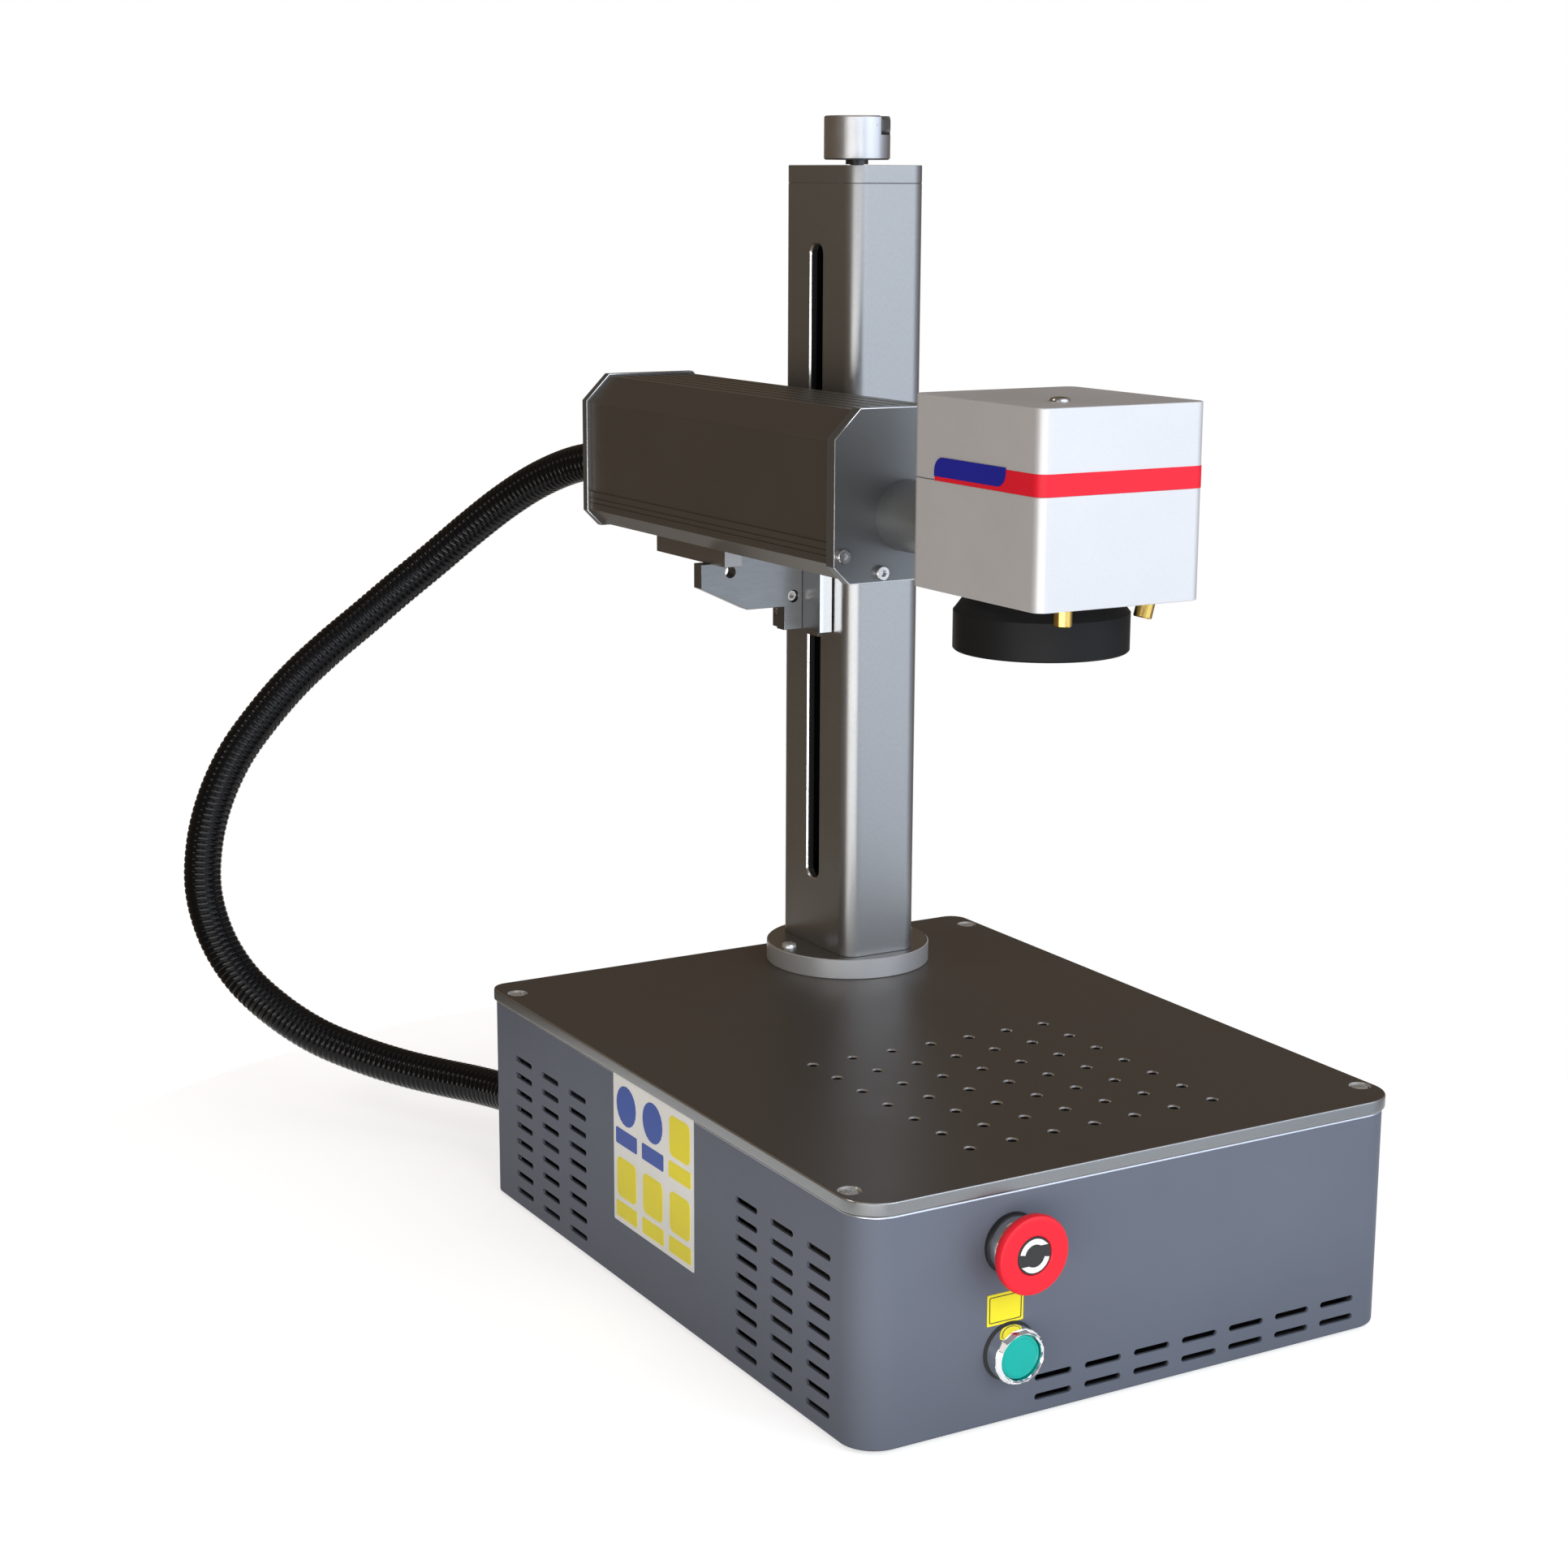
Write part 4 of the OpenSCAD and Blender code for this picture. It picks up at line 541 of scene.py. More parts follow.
def hose_shape():
    """Rings of the rib profile along the route, joined by strips of faces and capped at both ends."""
    bm = bmesh.new()
    rib = hose_length / hose_ribs
    stations = [((k + share) * rib, depth) for k in range(hose_ribs) for share, depth in rib_share]
    stations.append((hose_length, 1.0))
    side = Vector((0.5, 0.86, 0.05)).normalized()    # the hose never runs this way
    loops = []
    for s, depth in stations:
        tangent = (along(min(hose_length, s + hose_look)) - along(max(0, s - hose_look))).normalized()
        first = tangent.cross(side).normalized()
        second = first.cross(tangent)
        turn = Matrix((first, second, tangent)).transposed().to_4x4()
        made = bmesh.ops.create_circle(bm, cap_ends=False, segments=hose_sides,
                                       radius=hose_outer / 2 - rib_depth * depth,
                                       matrix=Matrix.Translation(along(s)) @ turn)
        loops.append(made["verts"])
    for first, second in zip(loops, loops[1:]):
        for k in range(hose_sides):
            n = (k + 1) % hose_sides
            bm.faces.new((first[k], first[n], second[n], second[k]))
    for loop in (loops[0], loops[-1]):
        bmesh.ops.contextual_create(bm, geom=loop)
    bmesh.ops.recalc_face_normals(bm, faces=bm.faces)
    return bm


hose = piece("ribbed_hose", hose_shape(), hose_black, None, "cable_hose", sharp=80)
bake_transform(hose)
print("hose length", round(hose_length, 4))

# %% [markdown]
# ## The cabinet
# The cabinet is one folded steel sheet with round corners. Its side walls have two groups of slots,
# the front has two low rows, and the controls and the rear sockets have holes of their own. The
# outer and inner boxes are made first, and all slots are taken out in one Boolean.

# %% Cabinet shell
case_low, case_high = corners("cabinet_shell")[:2]
case_size = case_high - case_low
sheet = 1.5 * MM
case_radius = 19 * MM
case_back_radius = 9 * MM
slot_length = 22 * MM
slot_height = 3.3 * MM
row_pitch = 10 * MM
column_pitch = 35 * MM
side_groups = (128.5 * MM, -132.5 * MM)
side_rows = 9
lowest_row = case_low.z + 10 * MM
front_slots = [(-52.3 * MM + k * 30 * MM, case_low.z + 8.4 * MM + r * row_pitch)
               for k in range(7) for r in (0, 1)]
hole_deep = 8 * MM


def slot_cutter(x, y, z, turn=None):
    """Round-ended slot through a wall, along X on the front and turned on the sides."""
    shape = block((slot_length, slot_height, 4 * sheet), slot_height / 2 * 0.999, segments=6)
    return moved(moved(shape, 0, 2 * sheet, 0, FACING_FRONT), x, y, z, turn)


def round_cutter(diameter, mid, y):
    """Round hole through the front or the rear wall."""
    return moved(rod(diameter, hole_deep), mid.x, y, mid.z, LYING_BACK)


quarter = Matrix.Rotation(math.pi / 2, 3, "Z")
cutters = [slot_cutter(x, case_low.y, z) for x, z in front_slots]
cutters += [slot_cutter(wall, group + column * column_pitch, lowest_row + row * row_pitch, quarter)
            for group in side_groups for column in (-1, 0, 1) for row in range(side_rows)
            for wall in (case_low.x, case_high.x)]
outer = block(case_size, case_radius, 1.4 * MM, 14, 3, case_back_radius)
inner = block((case_size.x - 2 * sheet, case_size.y - 2 * sheet, case_size.z * 2), case_radius - sheet, 0, 14,
              back_radius=case_back_radius - sheet)
shell = cut(moved(outer, 0, 0, case_low.z), moved(inner, 0, 0, -case_size.z / 4))
shell = cut(shell, joined(*cutters))

fan_mid, gland_mid, stop_mid, start_mid = (
    corners(node)[2] for node in ("fan_guard", "cabinet_gland", "stop_base", "start_bezel"))
back_y = case_high.y - 5 * MM
wall_holes = [round_cutter(76 * MM, fan_mid, back_y), round_cutter(20.1 * MM, gland_mid, back_y)]
for low, high, mid in (corners("power_inlet"), corners("usb_socket")):
    hole = block((high.x - low.x - 6 * MM, hole_deep, high.z - low.z - 6 * MM))
    wall_holes.append(moved(hole, mid.x, case_high.y - 1 * MM, low.z + 3 * MM))
wall_holes += [round_cutter(22.4 * MM, mid, case_low.y - 3 * MM) for mid in (stop_mid, start_mid)]
shell = cut(shell, joined(*wall_holes))
# The top rim's faces take the light finish, a painted highlight under the table's overhang.
paint(shell, 1, lambda c, n: 0.15 < n.z < 0.98 and c.z > case_high.z - 1.5 * MM)
piece("case_walls", shell, [case_paint, case_rim_painted_highlight], "cabinet", "cabinet_shell")
print("cabinet shell with", len(cutters), "slots")

# %% [markdown]
# ## The table plate
# The plate overhangs the cabinet a little. Its 49 fixture holes are countersunk, and the
# countersinks show bare metal. Four screws sit in counterbores at the corners.

# %% Table plate
table_low, table_high = corners("table_plate")[:2]
table_size = table_high - table_low
hole_pitch = 25 * MM
hole_front = -89 * MM
hole_radius = 2.5 * MM
sink = 0.75 * MM
hole_places = [((i - 3) * hole_pitch, (j - 3) * hole_pitch + hole_front) for i in range(7) for j in range(7)]
screw_places = [(x * 156.5 * MM, y * 184.5 * MM) for x in (-1, 1) for y in (-1, 1)]


def sunk_hole(radius, chamfer, thick):
    """Cutter of a round hole with its countersink, its mouth at z = 0."""
    over = 1 * MM
    return turned([(0, -thick - over), (radius, -thick - over), (radius, -chamfer), (radius + chamfer, 0),
                   (radius + chamfer + over, over), (0, over)], 20)


table_over = case_low.x - table_low.x
table = block(table_size, case_radius + table_over, 0.9 * MM, 14, 3, case_back_radius + table_over)
table = moved(table, 0, 0, table_low.z)
holes = [moved(sunk_hole(hole_radius, sink, table_size.z), x, y, table_high.z) for x, y in hole_places]
holes += [moved(sunk_hole(5 * MM, 0.9 * MM, 2.7 * MM), x, y, table_high.z) for x, y in screw_places]
table = cut(table, joined(*holes))
near_hole = [Vector((x, y, table_high.z)) for x, y in hole_places]
near_screw = [Vector((x, y, table_high.z)) for x, y in screw_places]
paint(table, 1, lambda c, n: 0.3 < n.z < 0.95)
paint(table, 3, lambda c, n: n.z < 0.3 and c.xy.length > 0.1 and c.xy.dot(n.xy) > 0.05)
paint(table, 4, lambda c, n: any((c - h).length < 6 * MM for h in near_screw) and n.z < 0.95)
# The walls of the fixture holes below the countersinks get dark steel: painted shade inside the holes.
paint(table, 2, lambda c, n: abs(n.z) < 0.2 and c.z < table_high.z - sink * 0.6
      and any((c - h).xy.length < 3 * MM for h in near_hole))
piece("table_top", table, [table_black, bright_edge, dark_steel_and_hole_shade, table_side, zinc], "cabinet", "table_plate")
print("table with", len(hole_places), "holes")

# %% [markdown]
# ## Screws
# The corner and flange screws are pan-head screws with a cross recess, and the housing's are socket
# screws. A head is a spun profile, and its recess is cut in.

# %% Screws
def cross_screw(head, height, shank):
    """Pan-head screw, its head standing on z = 0."""
    r = head / 2
    screw = turned([(0, -shank * 2), (shank / 2, -shank * 2), (shank / 2, 0), (r, 0), (r, height * 0.35),
                    (r * 0.9, height * 0.72), (r * 0.6, height * 0.94), (0, height)], 32)
    arms = [moved(block((r * 1.1, r * 0.24, height)), 0, 0, height * 0.45, Matrix.Rotation(a, 3, "Z"))
            for a in (0.5, 0.5 + math.pi / 2)]
    return cut(cut(screw, arms[0]), arms[1])


def socket_screw(head, height, shank, length):
    """Cap screw with a hexagon socket, its head's top at z = 0, pointing down."""
    r = head / 2
    rim = height * 0.12
    body = turned([(0, -length), (shank / 2, -length), (shank / 2, -height), (r, -height), (r, -rim),
                   (r - rim, 0), (0, 0)], 32)
    return cut(body, moved(rod(head * 0.52, height, 0, 6), 0, 0, -height * 0.55))


heads = [moved(cross_screw(9.4 * MM, 2.4 * MM, 4 * MM), x, y, table_high.z - 2.6 * MM)
         for x, y in screw_places]
flange_low, flange_high, flange_mid = corners("column_flange")
flange_screw_reach = 41 * MM
heads += [moved(cross_screw(9 * MM, 2.8 * MM, 5 * MM), flange_mid.x + x * flange_screw_reach, flange_mid.y,
                flange_high.z) for x in (-1, 1)]
piece("plate_screws", joined(*heads), zinc, "cabinet", "table_screws")
print("screw heads", len(heads))

# %% [markdown]
# ## The lift column
# The column is an extruded rectangular tube with a long slot on its left side for the carriage. It
# stands in a round flange. The slot's edge is freshly milled, so it shines. The cap is the same
# outline in a thin plate.

# %% Column, flange and cap
tube_low, tube_high, tube_mid = corners("column_tube")
tube_size = tube_high - tube_low
tube_radius = 10 * MM
tube_wall = 4.5 * MM
slot_width = 13.4 * MM
slot_low = tube_low.z + 41 * MM
slot_high = slot_low + 373 * MM
slot_edge = 0.8 * MM


def slot_tool(width, length, deep, chamfer):
    """Round-ended cutter along Z with a flared mouth, cutting towards plus X from x = 0."""
    body = block((width, length, deep), width / 2 * 0.9995, segments=16)
    flare = moved(block((width, length, chamfer * 2), width / 2 * 0.9995, segments=16), 0, 0, -chamfer)
    for v in flare.verts:
        if v.co.z < 0:
            v.co.x += math.copysign(chamfer * 2, v.co.x)
            v.co.y += math.copysign(chamfer * 2, v.co.y)
    return [body, flare]


column = filling("column_tube", tube_radius, 0.3 * MM, 12, 1)
bore = block((tube_size.x - 2 * tube_wall, tube_size.y - 2 * tube_wall, tube_size.z * 1.2),
             tube_radius - tube_wall, 0, 6)
column = cut(column, moved(bore, tube_mid.x, tube_mid.y, tube_low.z - tube_size.z * 0.1))
for tool in slot_tool(slot_width, slot_high - slot_low, 4 * tube_wall, slot_edge):
    column = cut(column, moved(tool, tube_low.x, tube_mid.y, (slot_low + slot_high) / 2, FACING_RIGHT))
paint(column, 1, lambda c, n: tube_low.x + 1e-5 < c.x < tube_low.x + slot_edge * 1.2
      and abs(c.y - tube_mid.y) < 9 * MM and -0.95 < n.x < -0.2)
# The tube's inner faces are painted near-black, as painted shade seen through the slot.
paint(column, 2, lambda c, n: abs(n.z) < 0.5 and (c - tube_mid).xy.dot(n.xy) < 0)
piece("column", column, [column_silver, bright_edge, column_inside_painted_shade], "cabinet", "column_tube")

flange_r = (flange_high.x - flange_low.x) / 2
flange = ring(2 * flange_r, 30 * MM, flange_high.z - flange_low.z, 0.5 * MM, 96)
# The flange's outer side takes the lighter finish, a painted highlight; its top keeps the darker one.
paint(flange, 1, lambda c, n: n.z < 0.8 and c.xy.length > 40 * MM)
flange = moved(flange, flange_mid.x, flange_mid.y, flange_low.z)
piece("foot_flange", flange, [flange_grey, flange_turned_side_painted_highlight], "cabinet",
      "column_flange")

cap_high = corners("column_cap")[1]
cap_thick = cap_high.z - tube_high.z
cap = block((tube_size.x, tube_size.y, cap_thick), tube_radius, 0.5 * MM, 12, 2)
screw_axis = corners("hand_knob")[2].xy
cap = drilled(moved(cap, tube_mid.x, tube_mid.y, tube_high.z), 14 * MM, 3 * cap_thick, *screw_axis,
              tube_high.z - cap_thick)
piece("cap_plate", cap, column_silver, "cabinet", "column_cap")
print("column height", round(tube_size.z, 3))

# %% [markdown]
# ## The hand knob and its crank
# The knob sits on the lead screw above the cap. It is turned from bar, with a slot milled across it
# in which the crank lever lies folded. The lever turns up and over about its pin.

# %% Knob and crank
knob_low, knob_high, knob_mid = corners("hand_knob")
knob_r = (knob_high.x - knob_low.x) / 2
knob_tall = knob_high.z - knob_low.z
crank_turn = math.radians(-50)
crank_width = 16 * MM
crank_tall = 10 * MM
near_gap = 0.3 * MM
lever_reach = 27 * MM
pin_reach = knob_r - crank_tall / 2 - near_gap
crank_far = pin_reach - lever_reach + crank_width / 2
crank_way = Matrix.Rotation(crank_turn, 3, "Z")

knob = turned([(0, 0), (knob_r - 0.8 * MM, 0), (knob_r, 0.8 * MM), (knob_r, knob_tall - 0.8 * MM),
               (knob_r - 0.8 * MM, knob_tall), (0, knob_tall)], 96)
slot_wide = crank_width + 2 * near_gap
slot_deep = crank_tall + 2 * near_gap
slot_end = pin_reach - math.hypot(lever_reach, crank_tall / 2) + crank_width / 2
long_slot = block((3 * knob_r, slot_wide, slot_deep * 2))
long_slot = moved(long_slot, slot_end + 1.5 * knob_r, 0, knob_tall - slot_deep)
round_slot = moved(rod(slot_wide, slot_deep * 2), slot_end, 0, knob_tall - slot_deep)
knob = cut(cut(knob, moved(long_slot, turn=crank_way)), moved(round_slot, turn=crank_way))
turned_knob = turned_metal("turned_knob", (0.62, 0.63, 0.65), 0.26, knob_mid)
knob = moved(knob, knob_mid.x, knob_mid.y, knob_low.z)
piece("knob", knob, turned_knob, "lift_screw", "hand_knob")

lever = block((pin_reach - crank_far, crank_width, crank_tall), 0, 0.5 * MM)
lever = moved(lever, (pin_reach + crank_far) / 2)
eye = moved(rod(crank_tall, crank_width, 0.5 * MM), pin_reach, -crank_width / 2, crank_tall / 2, LYING_BACK)
tip = moved(rod(crank_width, crank_tall, 0.5 * MM), crank_far)
lever_shape = drilled(joined(eye, tip, lever), 7 * MM, 3 * crank_tall, crank_far, 0, -crank_tall)
lever_shape = cut(lever_shape, moved(ring(4 * knob_r, 2 * knob_r, 3 * crank_tall), 0, 0, -crank_tall))
lever_shape = moved(lever_shape, knob_mid.x, knob_mid.y, knob_high.z - crank_tall - near_gap, crank_way)
piece("crank", lever_shape, plate_black, "crank", "crank_lever")
print("knob radius", round(knob_r, 4))

# %% [markdown]
# ## The bracket
# A slide plate runs on the column's left face, held to the carriage through the slot. An arm plate,
# a clamp block and a rail carry the housing. They are milled from plate, and the
# slide's front edge is bright.

# %% Bracket
slide_low = corners("slide_plate")[0]
slide = filling("slide_plate", rim=0.35 * MM)
paint(slide, 1, lambda c, n: n.y < -0.5)
piece("slide", slide, [bracket_silver, bright_edge], "head", "slide_plate")

arm_low, arm_high = corners("bracket_arm")[:2]
rail_low, rail_high = corners("mount_rail")[:2]
arm_knee = arm_high.z - 39.7 * MM
arm_step = 4.4 * MM
arm_outline = [(arm_low.x, arm_high.z - 25.5 * MM), (-20.3 * MM, arm_knee), (arm_step, arm_knee),
               (arm_step, arm_low.z), (slide_low.x, arm_low.z), (slide_low.x, arm_high.z),
               (rail_high.x, arm_high.z), (rail_high.x, rail_low.z), (arm_low.x, rail_low.z)]
arm_screw_x, arm_screw_z = 10.4 * MM, 351.4 * MM
arm = moved(plate(arm_outline, arm_high.y - arm_low.y, 0.35 * MM), 0, arm_high.y, 0, FACING_FRONT)
for diameter, deep, x, z in ((7, 20, -31.6 * MM, 368.2 * MM), (4.1, 20, arm_screw_x, arm_screw_z),
                             (7.4, 11, arm_screw_x, arm_screw_z)):
    arm = drilled(arm, diameter * MM, deep * MM, x, arm_low.y - 5 * MM, z, LYING_BACK)
piece("arm_plate", arm, bracket_silver, "head", "bracket_arm")

clamp_low, _, clamp_mid = corners("clamp_block")
clamp_screw_z = clamp_low.z + 10 * MM
clamp = drilled(filling("clamp_block", rim=0.4 * MM), 7.1 * MM, 6 * MM, clamp_low.x - 3 * MM, clamp_mid.y,
                clamp_screw_z, LYING_RIGHT)
piece("clamp", clamp, bracket_silver, "head", "clamp_block")
piece("rail", filling("mount_rail", rim=0.3 * MM), flange_grey, "head", "mount_rail")
print("bracket made")

# %% [markdown]
# ## The beam housing
# The housing is an extruded profile between two octagonal end plates. Its outline holds the
# recessed side panels, two fine lines below each panel and the grooves on top, so the whole length
# comes from one extrusion. The end plates have machined chamfers that show bare metal.

# %% Housing
body_low, body_high = corners("housing_body")[:2]
front_low, front_high, front_mid = corners("housing_front_plate")
rear_high = corners("housing_rear_plate")[1]
axis_x = front_mid.x
axis_z = corners("beam_tube")[2].z
inset = 1.5 * MM
up = front_high.z - axis_z
down = axis_z - front_low.z
half = front_high.x - axis_x
chamfer_up = 15.4 * MM
chamfer_low = 9.5 * MM


def both_sides(right):
    """Right-hand points of an outline, then their mirror image on the left."""
    return right + [(-x, z) for x, z in reversed(right)]


def body_outline():
    """Outline of the long profile, with its side panels, fine lines and grooves."""
    w, u, d = half - inset, up - inset, down - inset
    cu, cl = chamfer_up - 0.4 * inset, chamfer_low - 0.4 * inset
    step, line = 1 * MM, 0.6 * MM
    right = [(w - cl, -d), (w, -d + cl)]
    for z in (-20 * MM, -17 * MM):
        right += [(w, z), (w - line, z), (w - line, z + line), (w, z + line)]
    right += [(w, -13 * MM), (w - step, -13 * MM), (w - step, u - cu - 1.2 * MM), (w - 0.2 * MM, u - cu),
              (w - cu, u)]
    groove = 0.8 * MM
    for x in (19 * MM, 9.5 * MM):
        right += [(x + groove, u), (x + groove, u - step), (x - groove, u - step), (x - groove, u)]
    return both_sides(right + [(groove, u), (groove, u - step)])


def facing(outline, thick, y_back, rim=0.0):
    """Outline seen from the front, extruded forwards from y_back."""
    return moved(plate(outline, thick, rim), axis_x, y_back, axis_z, FACING_FRONT)


housing = facing(body_outline(), body_high.y - body_low.y, body_high.y)
piece("housing", housing, housing_black, "head", "housing_body")

octagon = both_sides([(half - chamfer_low, -down), (half, -down + chamfer_low), (half, up - chamfer_up),
                      (half - chamfer_up, up)])
for name, hole in (("front_plate", 37.6 * MM), ("rear_plate", 20.1 * MM)):
    low, high = corners("housing_" + name)[:2]
    end = drilled(facing(octagon, high.y - low.y, high.y, 0.5 * MM), hole, 30 * MM, axis_x, low.y - 10 * MM,
                  axis_z, LYING_BACK)
    paint(end, 1, lambda c, n: 0.2 < abs(n.y) < 0.95)
    piece(name, end, [plate_black, bright_edge], "head", "housing_" + name)
print("housing length", round(rear_high.y - front_low.y, 4))

# %% [markdown]
# ## Beam tube, scan head and lens
# The tube is a plain black sleeve. The scan head is cast and blasted, in two halves with a fine
# seam, and a coloured film runs round it above the seam. The lens below is a turned black barrel.

# %% Scan head
sleeve_low, sleeve_high = corners("beam_tube")[:2]
sleeve = ring(sleeve_high.x - sleeve_low.x, 24 * MM, sleeve_high.y - sleeve_low.y, 0.4 * MM)
sleeve = moved(sleeve, axis_x, sleeve_low.y, axis_z, LYING_BACK)
piece("beam_sleeve", sleeve, sleeve_black, "head", "beam_tube")

base_low, base_high, base_mid = corners("galvo_base")
cover_low, cover_high, cover_mid = corners("galvo_cover")
lens_low, lens_high, lens_mid = corners("lens_barrel")
head_r = 6 * MM
base = filling("galvo_base", head_r, 0.5 * MM, 8)
base_cavity = block((83 * MM, 96.5 * MM, 60 * MM), 3 * MM)
base = cut(base, moved(base_cavity, base_mid.x, base_mid.y, base_low.z + 10 * MM))
base = drilled(base, 60.1 * MM, 30 * MM, lens_mid.x, lens_mid.y, base_low.z - 10 * MM)
base = drilled(base, 24 * MM, 20 * MM, axis_x, base_high.y - 12 * MM, axis_z, LYING_BACK)
piece("scan_base", base, head_silver, "head", "galvo_base")
seam = 0.35 * MM
cover_size = cover_high - cover_low
cover = block((cover_size.x, cover_size.y, cover_size.z - seam), head_r, 0.6 * MM, 8, 3)
cover = moved(cover, cover_mid.x, cover_mid.y, cover_low.z + seam)
cavity = block((89 * MM, 102.5 * MM, 60 * MM), 4 * MM)
cover = cut(cover, moved(cavity, cover_mid.x, cover_mid.y, cover_high.z - 63 * MM))
piece("scan_cover", cover, head_silver, "head", "galvo_cover")

stripe_low, stripe_high = corners("galvo_stripe")[:2]
badge_low, badge_high, badge_mid = corners("galvo_badge")
base_size = base_high - base_low
film = 0.25 * MM
badge_drop = 7.3 * MM
band_size = (base_size.x + 2 * film, base_size.y + 2 * film, stripe_high.z - stripe_low.z)
band = block(band_size, head_r + film, 0, 8)
band = moved(band, base_mid.x, base_mid.y, stripe_low.z)
inside = block((base_size.x + 0.04 * MM, base_size.y + 0.04 * MM, 40 * MM), head_r, 0, 8)
behind_stripe = block((200 * MM, 60 * MM, 60 * MM))
above_line = block((20 * MM, 40 * MM, 20 * MM))
band = cut(band, moved(inside, base_mid.x, base_mid.y, stripe_low.z - 10 * MM))
band = cut(band, moved(behind_stripe, base_mid.x, stripe_high.y + 30 * MM, stripe_low.z - 20 * MM))
band = cut(band, moved(above_line, stripe_low.x, badge_high.y - 14 * MM, stripe_high.z - badge_drop))
piece("head_stripe", band, red_film, "head", "galvo_stripe")

badge_long = badge_high.y - badge_low.y
badge_tall = badge_high.z - badge_low.z + 0.8 * MM
badge = block((badge_long, badge_tall, badge_high.x - badge_low.x))
for x, y in ((1, 1), (-1, -1)):
    big = [e for e in badge.edges if all(v.co.x * x > 0 and v.co.y * y > 0 for v in e.verts)]
    bevel(badge, [e for e in big if abs(e.verts[0].co.z - e.verts[1].co.z) > 1e-6], 7 * MM, 10)
badge = moved(badge, badge_low.x, badge_mid.y, badge_mid.z + 0.5 * MM, FACING_RIGHT)
piece("head_badge", badge, blue_film, "head", "galvo_badge")

lens_r = 43.2 * MM
barrel_tall = lens_high.z - lens_low.z
barrel = turned([*mm((37.2, 0.5), (37.8, 0)), (lens_r - 0.7 * MM, 0), (lens_r, 0.7 * MM), (lens_r, 19 * MM),
                 (lens_r - 0.6 * MM, 19.6 * MM), *mm((38.2, 25.6), (38, 26.2), (38, 28.8), (30, 28.8)),
                 (30 * MM, barrel_tall), (24 * MM, barrel_tall),
                 *mm((24, 25.6), (35.2, 17.6), (35.2, 9), (37.2, 9), (37.2, 0.5))], 96)
barrel = moved(barrel, lens_mid.x, lens_mid.y, lens_low.z)
piece("lens", barrel, lens_black, "head", "lens_barrel")

for side, tilt in (("left", 0), ("right", math.radians(15))):
    node = "pointer_" + side
    tube = moved(ring(9 * MM, 3 * MM, 20 * MM, 0.5 * MM, 32), 0, 0, -10 * MM)
    tube = moved(tube, *corners(node)[2], Matrix.Rotation(tilt, 3, "Y"))
    piece("pointer_brass_" + side, tube, brass, "head", node)
print("scan head width", round(base_high.x - base_low.x, 4))

# %% Screws of the head
head_parts = []
for x, z in ((39, -19.2), (15.4, -29.2), (-39, -19.2), (-15.4, -29.2)):
    head_parts.append(moved(socket_screw(7.6 * MM, 3 * MM, 4 * MM, 8 * MM), axis_x + x * MM,
                            front_low.y - 3 * MM, axis_z + z * MM, FACING_FRONT))
head_parts.append(moved(cross_screw(10 * MM, 2.2 * MM, 4 * MM), -36 * MM, base_high.y - 78 * MM,
                        cover_high.z))
head_parts.append(moved(socket_screw(6.8 * MM, 4 * MM, 4 * MM, 15 * MM), arm_screw_x, arm_low.y + 2 * MM,
                        arm_screw_z, FACING_FRONT))
head_parts.append(moved(socket_screw(7 * MM, 3 * MM, 4 * MM, 3 * MM), clamp_low.x, clamp_mid.y, clamp_screw_z,
                        Matrix.Rotation(-math.pi / 2, 3, "Y")))
piece("housing_screws", joined(*head_parts), steel_bright, "head", "head_screws")
print("head screws", len(head_parts))

# %% [markdown]
# ## The controls
# The stop button is a red mushroom head on a silver collar with a black base ring. Its centre is
# black with two plain turning arrows. The start button is a green cap in a chromed bezel whose rim
# has twelve flats.

# %% Stop button
front_wall = case_low.y
head_low, _, head_mid = corners("stop_head")
stop_place = Vector((stop_mid.x, front_wall, head_mid.z))
base_ring = turned(mm((11, 0), (15.5, 0), (15.5, 1.6), (14.9, 2.5), (11, 2.5), (11, 0)))
collar = turned(mm((7.05, 2.5), (14.4, 2.5), (14.4, 5.4), (13.4, 7), (7.05, 7), (7.05, 2.5)))
barrel_back = turned(mm((7.05, -22), (11, -22), (11, 0), (7.05, 0), (7.05, -22)), 48)
switch_block = moved(block((30 * MM, 30 * MM, 26 * MM), 2 * MM, 0.6 * MM, 4), 0, 0, -48 * MM)
mounting = joined(base_ring, paint(collar, 1), barrel_back, switch_block)
piece("stop_mounting", moved(mounting, *stop_place, FACING_FRONT), [black_plastic, steel_bright], "cabinet",
      "stop_base")

stop_face = front_wall - head_low.y
stop_back = stop_face - 7.5 * MM
stop_profile = [(0, 0), (16.6, 0), (18.2, 0.5), (19.5, 2.2), (20, 4.4), (19.9, 6), (19.5, 6.9), (18.7, 7.38),
                (17.6, 7.5), (10.2, 7.3), (9.8, 7), (9.6, 6.3), (0, 6.3)]
stop_head = moved(turned(mm(*stop_profile), 96), 0, 0, stop_back)
disc = paint(moved(rod(19 * MM, 0.7 * MM, 0.2 * MM), 0, 0, stop_face - 1.3 * MM), 1)


